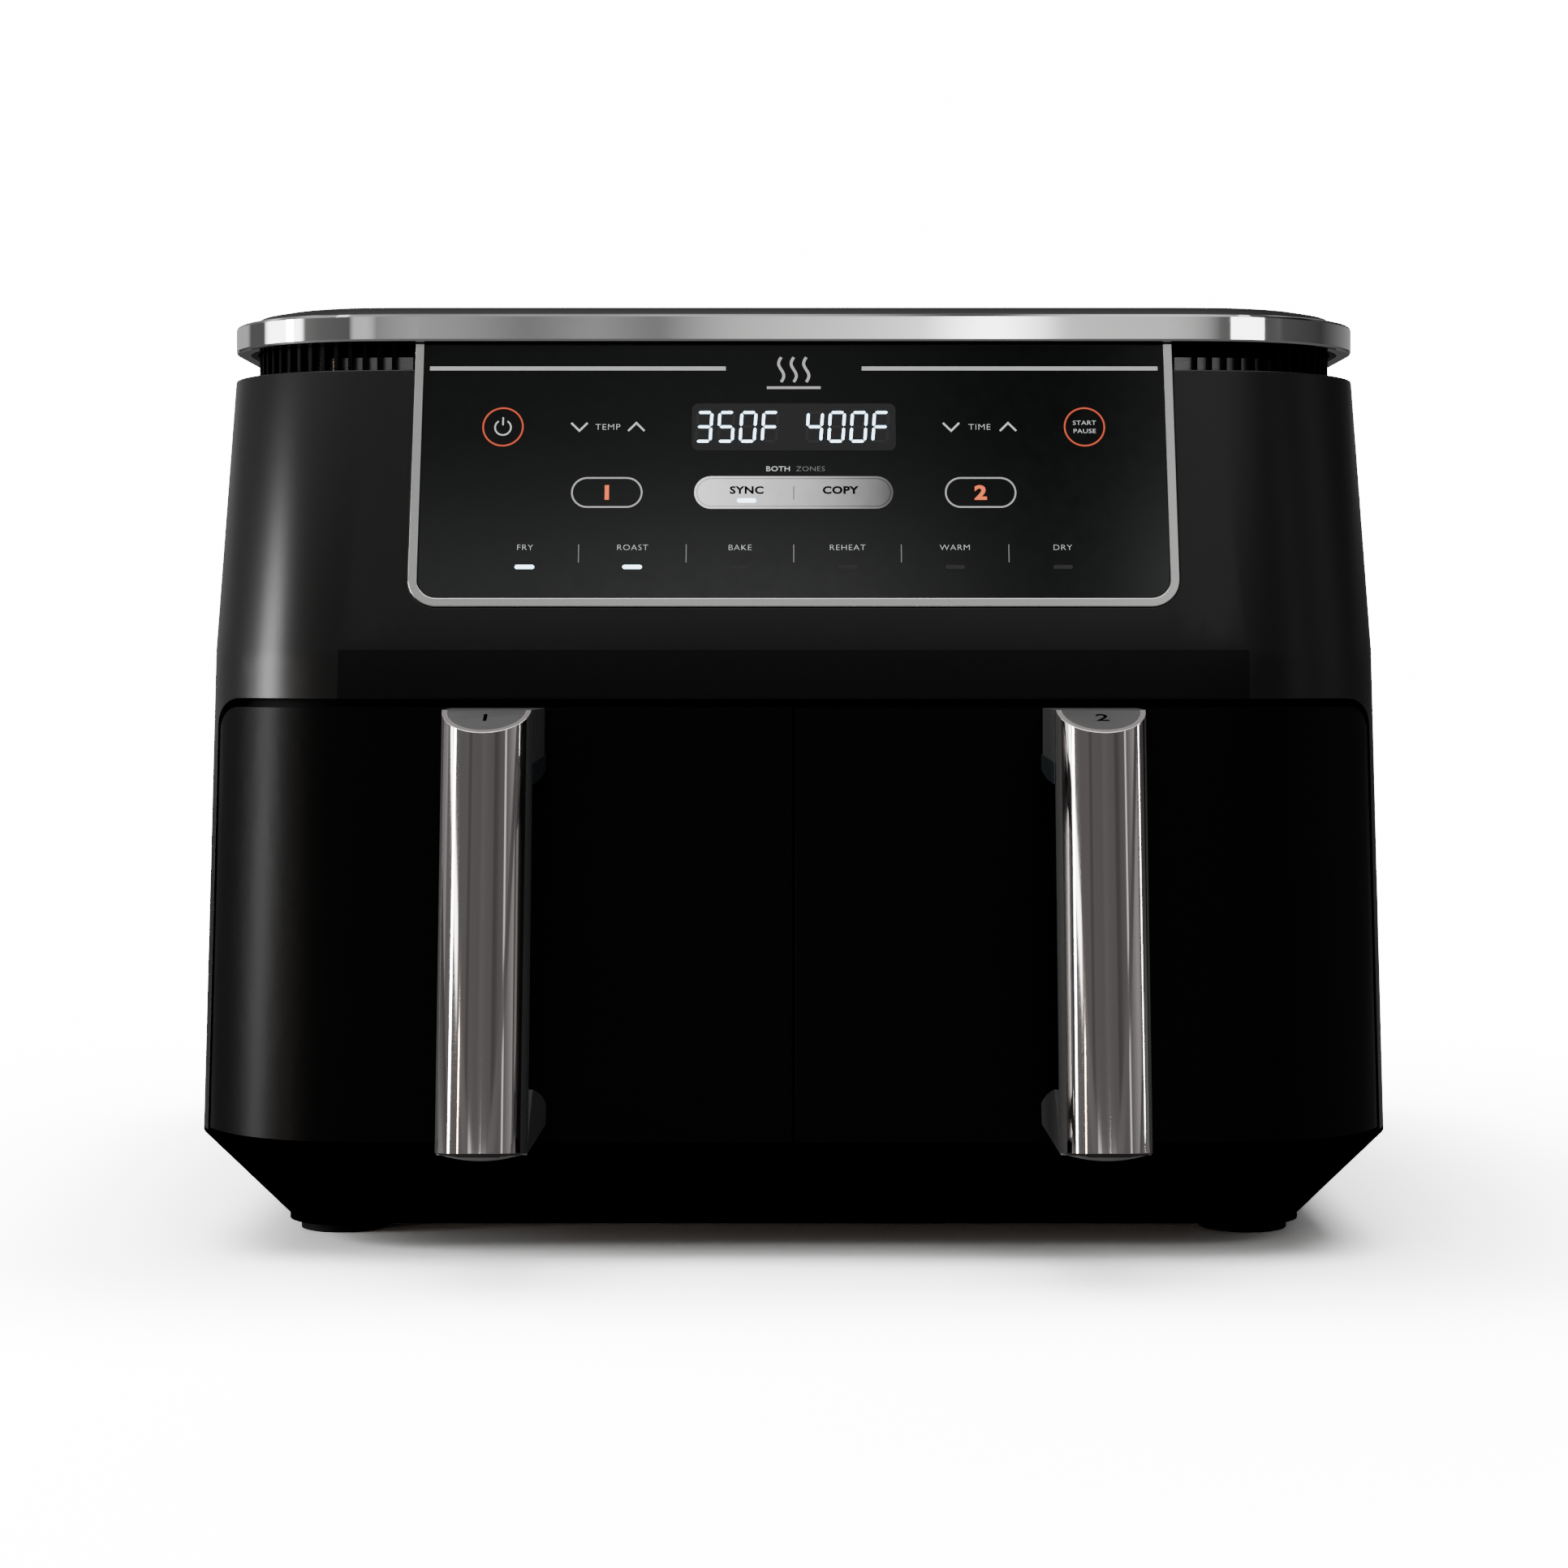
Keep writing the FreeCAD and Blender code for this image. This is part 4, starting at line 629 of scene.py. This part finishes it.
# ---------------------------------------------------------------- print on the control panel
PANEL_PLACE = (Matrix.Translation((0, -CREASE_FRONT * MM, CREASE * MM))
               @ Matrix.Rotation(LEAN_HIGH, 4, "X").inverted() @ Matrix.Rotation(math.radians(90), 4, "X")
               @ Matrix.Scale(MM, 4))
SLOPE_STRETCH = 1 / math.cos(LEAN_HIGH)
PRINT_LEVEL = -0.28
PRINT_THICK = 0.04
OVERPRINT = 0.03
PRINTED = {}

# rows and columns of the panel: height above the standing surface and distance from the middle
DISPLAY_ROW = 272
PAIR_ROW = 249.8
WORD_ROW = 231.4
LAMP_ROW = 224.9
COLUMN_PITCH = 35.5
ZONE_COLUMN = 62
ROUND_COLUMN = 97
PAIR_TALL = 10.9 * SLOPE_STRETCH
PAIR_COLUMN = 15.6
CAPITAL_SHARE = 0.73


def up_slope(height):
    """Distance up the panel from the crease for a height above the standing surface."""
    return (height - CREASE) * SLOPE_STRETCH


def stamp(group, made, across, height, raise_by=0.0):
    """Set a flat mark, drawn about its own centre, on the panel as part of a printed group."""
    bmesh.ops.translate(made, verts=made.verts,
                        vec=(across, up_slope(height), PRINT_LEVEL + raise_by))
    mesh = bpy.data.meshes.new("draft")
    made.to_mesh(mesh)
    made.free()
    PRINTED.setdefault(group, bmesh.new()).from_mesh(mesh)
    bpy.data.meshes.remove(mesh)


def thickened(made):
    """Give a flat mark its small thickness."""
    top = bmesh.ops.extrude_face_region(made, geom=made.faces[:])["geom"]
    raised = [part for part in top if isinstance(part, bmesh.types.BMVert)]
    bmesh.ops.translate(made, verts=raised, vec=(0, 0, PRINT_THICK))
    bmesh.ops.recalc_face_normals(made, faces=made.faces)
    return made


def polygon(corners):
    """Flat mark with the given corners."""
    made = bmesh.new()
    made.faces.new([made.verts.new((x, y, 0)) for x, y in corners])
    return thickened(made)


def bar(width, height):
    """Flat rectangle about its own centre."""
    half_w, half_h = width / 2, height / 2
    return polygon([(-half_w, -half_h), (half_w, -half_h), (half_w, half_h), (-half_w, half_h)])


def pill(width, height, line=0.0, corner=None, segments=10):
    """Rounded bar; with a line width, only its outline."""
    made = bmesh.new()
    half_w, half_h = width / 2, height / 2
    made.faces.new([made.verts.new((x, y, 0)) for x, y in
                    ((-half_w, -half_h), (half_w, -half_h), (half_w, half_h), (-half_w, half_h))])
    radius = min(half_h, half_w) * 0.995 if corner is None else corner
    bmesh.ops.bevel(made, geom=made.verts[:], offset=radius, offset_type="OFFSET", segments=segments,
                    profile=0.5, affect="VERTICES", material=-1)
    if line:
        bmesh.ops.inset_region(made, faces=made.faces[:], thickness=line, use_even_offset=True,
                                use_boundary=True)
        inner = min(made.faces, key=lambda face: max(abs(vert.co.x) for vert in face.verts)
                    if len(face.verts) > 4 else 1e9)
        bmesh.ops.delete(made, geom=[inner], context="FACES_ONLY")
    return thickened(made)


def hoop(radius, line, segments=64, start=0.0, sweep=360.0):
    """Flat ring or a part of one, from straight up clockwise."""
    made = bmesh.new()
    first = [made.verts.new((0, radius - line, 0)), made.verts.new((0, radius, 0))]
    made.edges.new(first)
    bmesh.ops.rotate(made, verts=made.verts, cent=(0, 0, 0),
                     matrix=Matrix.Rotation(-math.radians(start), 3, "Z"))
    bmesh.ops.spin(made, geom=made.verts[:] + made.edges[:], cent=(0, 0, 0), axis=(0, 0, -1),
                   angle=math.radians(sweep), steps=segments, use_merge=sweep == 360.0)
    return thickened(made)


def stroke(points, line):
    """Line of a given width through a few points, with square ends."""
    made = bmesh.new()
    sides = []
    for index, point in enumerate(points):
        here = Vector(point)
        before = (here - Vector(points[index - 1])).normalized() if index else None
        after = (Vector(points[index + 1]) - here).normalized() if index + 1 < len(points) else None
        along = ((before or after) + (after or before)).normalized()
        normal = Vector((-along.y, along.x))
        turn = normal.dot(Vector((-(before or after).y, (before or after).x)))
        reach = normal * (line / 2 / max(0.4, turn))
        sides.append([made.verts.new((*(here + reach), 0)), made.verts.new((*(here - reach), 0))])
    for near, far in zip(sides, sides[1:]):
        made.faces.new([near[0], near[1], far[1], far[0]])
    return thickened(made)


def lettering(text, size, stretch=1.0, bold=0.0, line=0.0):
    """Words as a thin flat mesh, centred; size is the height of a capital."""
    curve = bpy.data.curves.new("draft", "FONT")
    curve.body = text
    curve.size = size / CAPITAL_SHARE
    curve.align_x = "CENTER"
    curve.align_y = "CENTER"
    curve.space_character = 1.0 + line
    curve.offset = bold
    curve.extrude = PRINT_THICK / 2
    curve.resolution_u = 3
    draft = bpy.data.objects.new("draft", curve)
    mesh = bpy.data.meshes.new_from_object(draft)
    made = bmesh.new()
    made.from_mesh(mesh)
    bpy.data.objects.remove(draft)
    bpy.data.curves.remove(curve)
    bpy.data.meshes.remove(mesh)
    low = min(vert.co.y for vert in made.verts)
    high = max(vert.co.y for vert in made.verts)
    bmesh.ops.translate(made, verts=made.verts, vec=(0, -(low + high) / 2, PRINT_THICK / 2))
    bmesh.ops.scale(made, verts=made.verts, vec=(stretch, 1, 1))
    return made


SEGMENTS = {"0": "abcdef", "3": "abcdg", "4": "bcfg", "5": "acdfg", "F": "aefg"}
DIGIT_PITCH = 7.35
DIGIT_HALF_WIDTH = 2.35
DIGIT_HALF_HEIGHT = 5.1
DIGIT_LINE = 0.95
DIGIT_GAP = 0.28
DIGIT_SLANT = 0.06


def seven_segments(text, across, height):
    """Lit and unlit bars of a row of digits."""
    half_w, half_t = DIGIT_HALF_WIDTH, DIGIT_HALF_HEIGHT
    ends = {"a": ((-half_w, half_t), (half_w, half_t)), "g": ((-half_w, 0), (half_w, 0)),
            "d": ((-half_w, -half_t), (half_w, -half_t)),
            "f": ((-half_w, half_t), (-half_w, 0)), "b": ((half_w, half_t), (half_w, 0)),
            "e": ((-half_w, 0), (-half_w, -half_t)), "c": ((half_w, 0), (half_w, -half_t))}
    for index, sign in enumerate(text):
        centre = across + (index - (len(text) - 1) / 2) * DIGIT_PITCH
        for letter, (start, end) in ends.items():
            start, end = Vector(start), Vector(end)
            along = (end - start).normalized()
            side = Vector((-along.y, along.x)) * DIGIT_LINE / 2
            tip_a, tip_b = start + along * DIGIT_GAP, end - along * DIGIT_GAP
            near, far = tip_a + along * DIGIT_LINE / 2, tip_b - along * DIGIT_LINE / 2
            corners = [near - side, far - side, tip_b, far + side, near + side, tip_a]
            shape = polygon([(point.x + DIGIT_SLANT * point.y, point.y) for point in corners])
            if letter in SEGMENTS[sign]:
                stamp("lit_digits", shape, centre, height, 2 * OVERPRINT)
            else:
                stamp("dim_digits", shape, centre, height, OVERPRINT)


def print_zone(side):
    """Marks that stand on both sides of the panel."""
    column = side * ZONE_COLUMN
    stamp("silver", bar(99.2, 1.4), side * 72.4, 292)
    stamp("orange_print", hoop(6.9, 0.55), side * ROUND_COLUMN, DISPLAY_ROW)
    stamp("silver", pill(23.7, 10.3 * SLOPE_STRETCH, 0.55), column, PAIR_ROW)
    stamp("lit_orange", lettering("1" if side < 0 else "2", 4.9, 1.2, 0.26), column, PAIR_ROW)
    word = "TEMP" if side < 0 else "TIME"
    stamp("white_print", lettering(word, 2.2, 1.12, -0.06, 0.08), column, DISPLAY_ROW)
    for shift, rise in ((-9.5, -1), (9.5, 1)):
        chevron = [(-2.7, -1.4 * rise), (0, 1.4 * rise), (2.7, -1.4 * rise)]
        stamp("white_print", stroke(chevron, 0.62), column + shift, DISPLAY_ROW)


def print_round_keys():
    """Power mark on the left and the start words on the right."""
    stamp("white_print", hoop(2.9, 0.5, 30, 34, 292), -ROUND_COLUMN, DISPLAY_ROW - 0.2)
    stamp("white_print", polygon([(-0.25, 0.6), (0.25, 0.6), (0.25, 3.4), (-0.25, 3.4)]),
          -ROUND_COLUMN, DISPLAY_ROW)
    for word, shift in (("START", 1.4), ("PAUSE", -1.4)):
        stamp("white_print", lettering(word, 1.6, 1.2, -0.02, 0.04), ROUND_COLUMN, DISPLAY_ROW + shift)


def print_warm_air():
    """Three rising waves of warm air over a line."""
    for shift in (-4.2, 0, 4.2):
        wave = [(0.9 * math.sin(step * math.pi / 5), -4.4 + step * 0.88) for step in range(11)]
        stamp("silver", stroke(wave, 0.95), shift, 291.6)
    stamp("silver", bar(18, 0.9), 0, 285.4)


def print_middle():
    """Display, and the pair of functions for both zones under it."""
    stamp("display_window", pill(68, 16 * SLOPE_STRETCH, 0, 2.2, 6), 0, DISPLAY_ROW)
    seven_segments("350F", -18.9, DISPLAY_ROW)
    seven_segments("400F", 18.0, DISPLAY_ROW)
    stamp("white_print", lettering("BOTH", 1.8, 1.2, 0.0, 0.04), -5.2, 257.8)
    stamp("grey_print", lettering("ZONES", 1.8, 1.2, -0.04, 0.04), 5.6, 257.8)
    stamp("pill", pill(66, PAIR_TALL), 0, PAIR_ROW)
    stamp("dark_print", pill(64.4, PAIR_TALL - 1.5, 0.16), 0, PAIR_ROW, OVERPRINT)
    for word, across in (("SYNC", -PAIR_COLUMN), ("COPY", PAIR_COLUMN - 0.2)):
        stamp("dark_print", lettering(word, 2.6, 1.2, 0.15, 0.06), across, PAIR_ROW + 0.8, OVERPRINT)
    stamp("dark_print", bar(0.26, 4.6), 0, PAIR_ROW - 0.2, OVERPRINT)
    stamp("lit_marks", pill(6.4, 1.5), -PAIR_COLUMN, PAIR_ROW - 2.7, OVERPRINT)


def print_functions():
    """Row of function words, each with its lamp, and the lines between them."""
    words = ("FRY", "ROAST", "BAKE", "REHEAT", "WARM", "DRY")
    for index, word in enumerate(words):
        across = (index - 2.5) * COLUMN_PITCH
        stamp("white_print", lettering(word, 2.05, 1.12, -0.06, 0.10), across, WORD_ROW)
        stamp("lit_marks" if index < 2 else "dim_marks", pill(6.4, 1.35), across, LAMP_ROW)
        if index:
            stamp("grey_print", bar(0.3, 6.2), across - COLUMN_PITCH / 2, WORD_ROW - 2)


def print_panel():
    """All the marks on the glass, one piece for each finish."""
    print_zone(-1)
    print_zone(1)
    print_round_keys()
    print_warm_air()
    print_middle()
    print_functions()
    finishes = {"silver": MARK_SILVER, "pill": PILL_PAINTED_SHEEN, "orange_print": MARK_ORANGE,
                "lit_orange": LIT_ORANGE, "white_print": MARK_WHITE, "grey_print": MARK_GREY,
                "display_window": DISPLAY_WINDOW, "lit_digits": LIT_BLUE, "dim_digits": UNLIT,
                "dark_print": DARK_PRINT, "lit_marks": LIT_BLUE, "dim_marks": UNLIT}
    for group, made in PRINTED.items():
        bmesh.ops.transform(made, matrix=PANEL_PLACE, verts=made.verts)
        mesh = bpy.data.meshes.new(group)
        made.to_mesh(mesh)
        made.free()
        add_piece("panel_" + group, mesh, "root", "panel_black_glass", finishes[group])


# ---------------------------------------------------------------- marks on the handles
ZONE_CENTRE = 96
HANDLE_TOP = 178.6
SHOULDER_BACK = 143.1
TOP_SLANT = math.radians(24)
NUMBER_DROP = 5.6
NUMBER_SUNK = 0.01


def number_grips():
    """Zone number let into the sloping top of each grip."""
    for number in (1, 2):
        made = lettering(str(number), 5.0, 1.3, 0.10)
        bmesh.ops.translate(made, verts=made.verts, vec=(0, -NUMBER_DROP, -NUMBER_SUNK))
        corner = Vector((zone_of(number) * ZONE_CENTRE, -SHOULDER_BACK, HANDLE_TOP)) * MM
        place = (Matrix.Translation(corner)
                 @ Matrix.Rotation(TOP_SLANT, 4, "X") @ Matrix.Scale(MM, 4))
        bmesh.ops.transform(made, matrix=place, verts=made.verts)
        mesh = bpy.data.meshes.new("handle_number")
        made.to_mesh(mesh)
        made.free()
        add_piece(f"handle_number_{number}", mesh, f"drawer_{number}", "handle_grey", ENGRAVED)


make_camera()
make_floor()
paint_frame()
for node, width in (("housing_shell", 0.5), ("top_cover", 0.4), ("drawer_front_1", 0.5),
                    ("drawer_front_2", 0.5), ("handle_shell_1", 0.15), ("handle_shell_2", 0.15),
                    ("handle_core_1", 0.4), ("handle_core_2", 0.4), ("handle_mount_1", 0.3),
                    ("handle_mount_2", 0.3), ("panel_glass", 0.2),
                    ("basket_1", 0.4), ("basket_2", 0.4)):
    softened(node, width)
softened("base_pan", 0.5, material=BASE_PAINTED_SHADE)
darken_front()
finish_grips()
softened("trim_ring", 0.0, 20)
softened("panel_frame", 0.35, material=FRAME_SILVER)
print_panel()
number_grips()
make_lights()
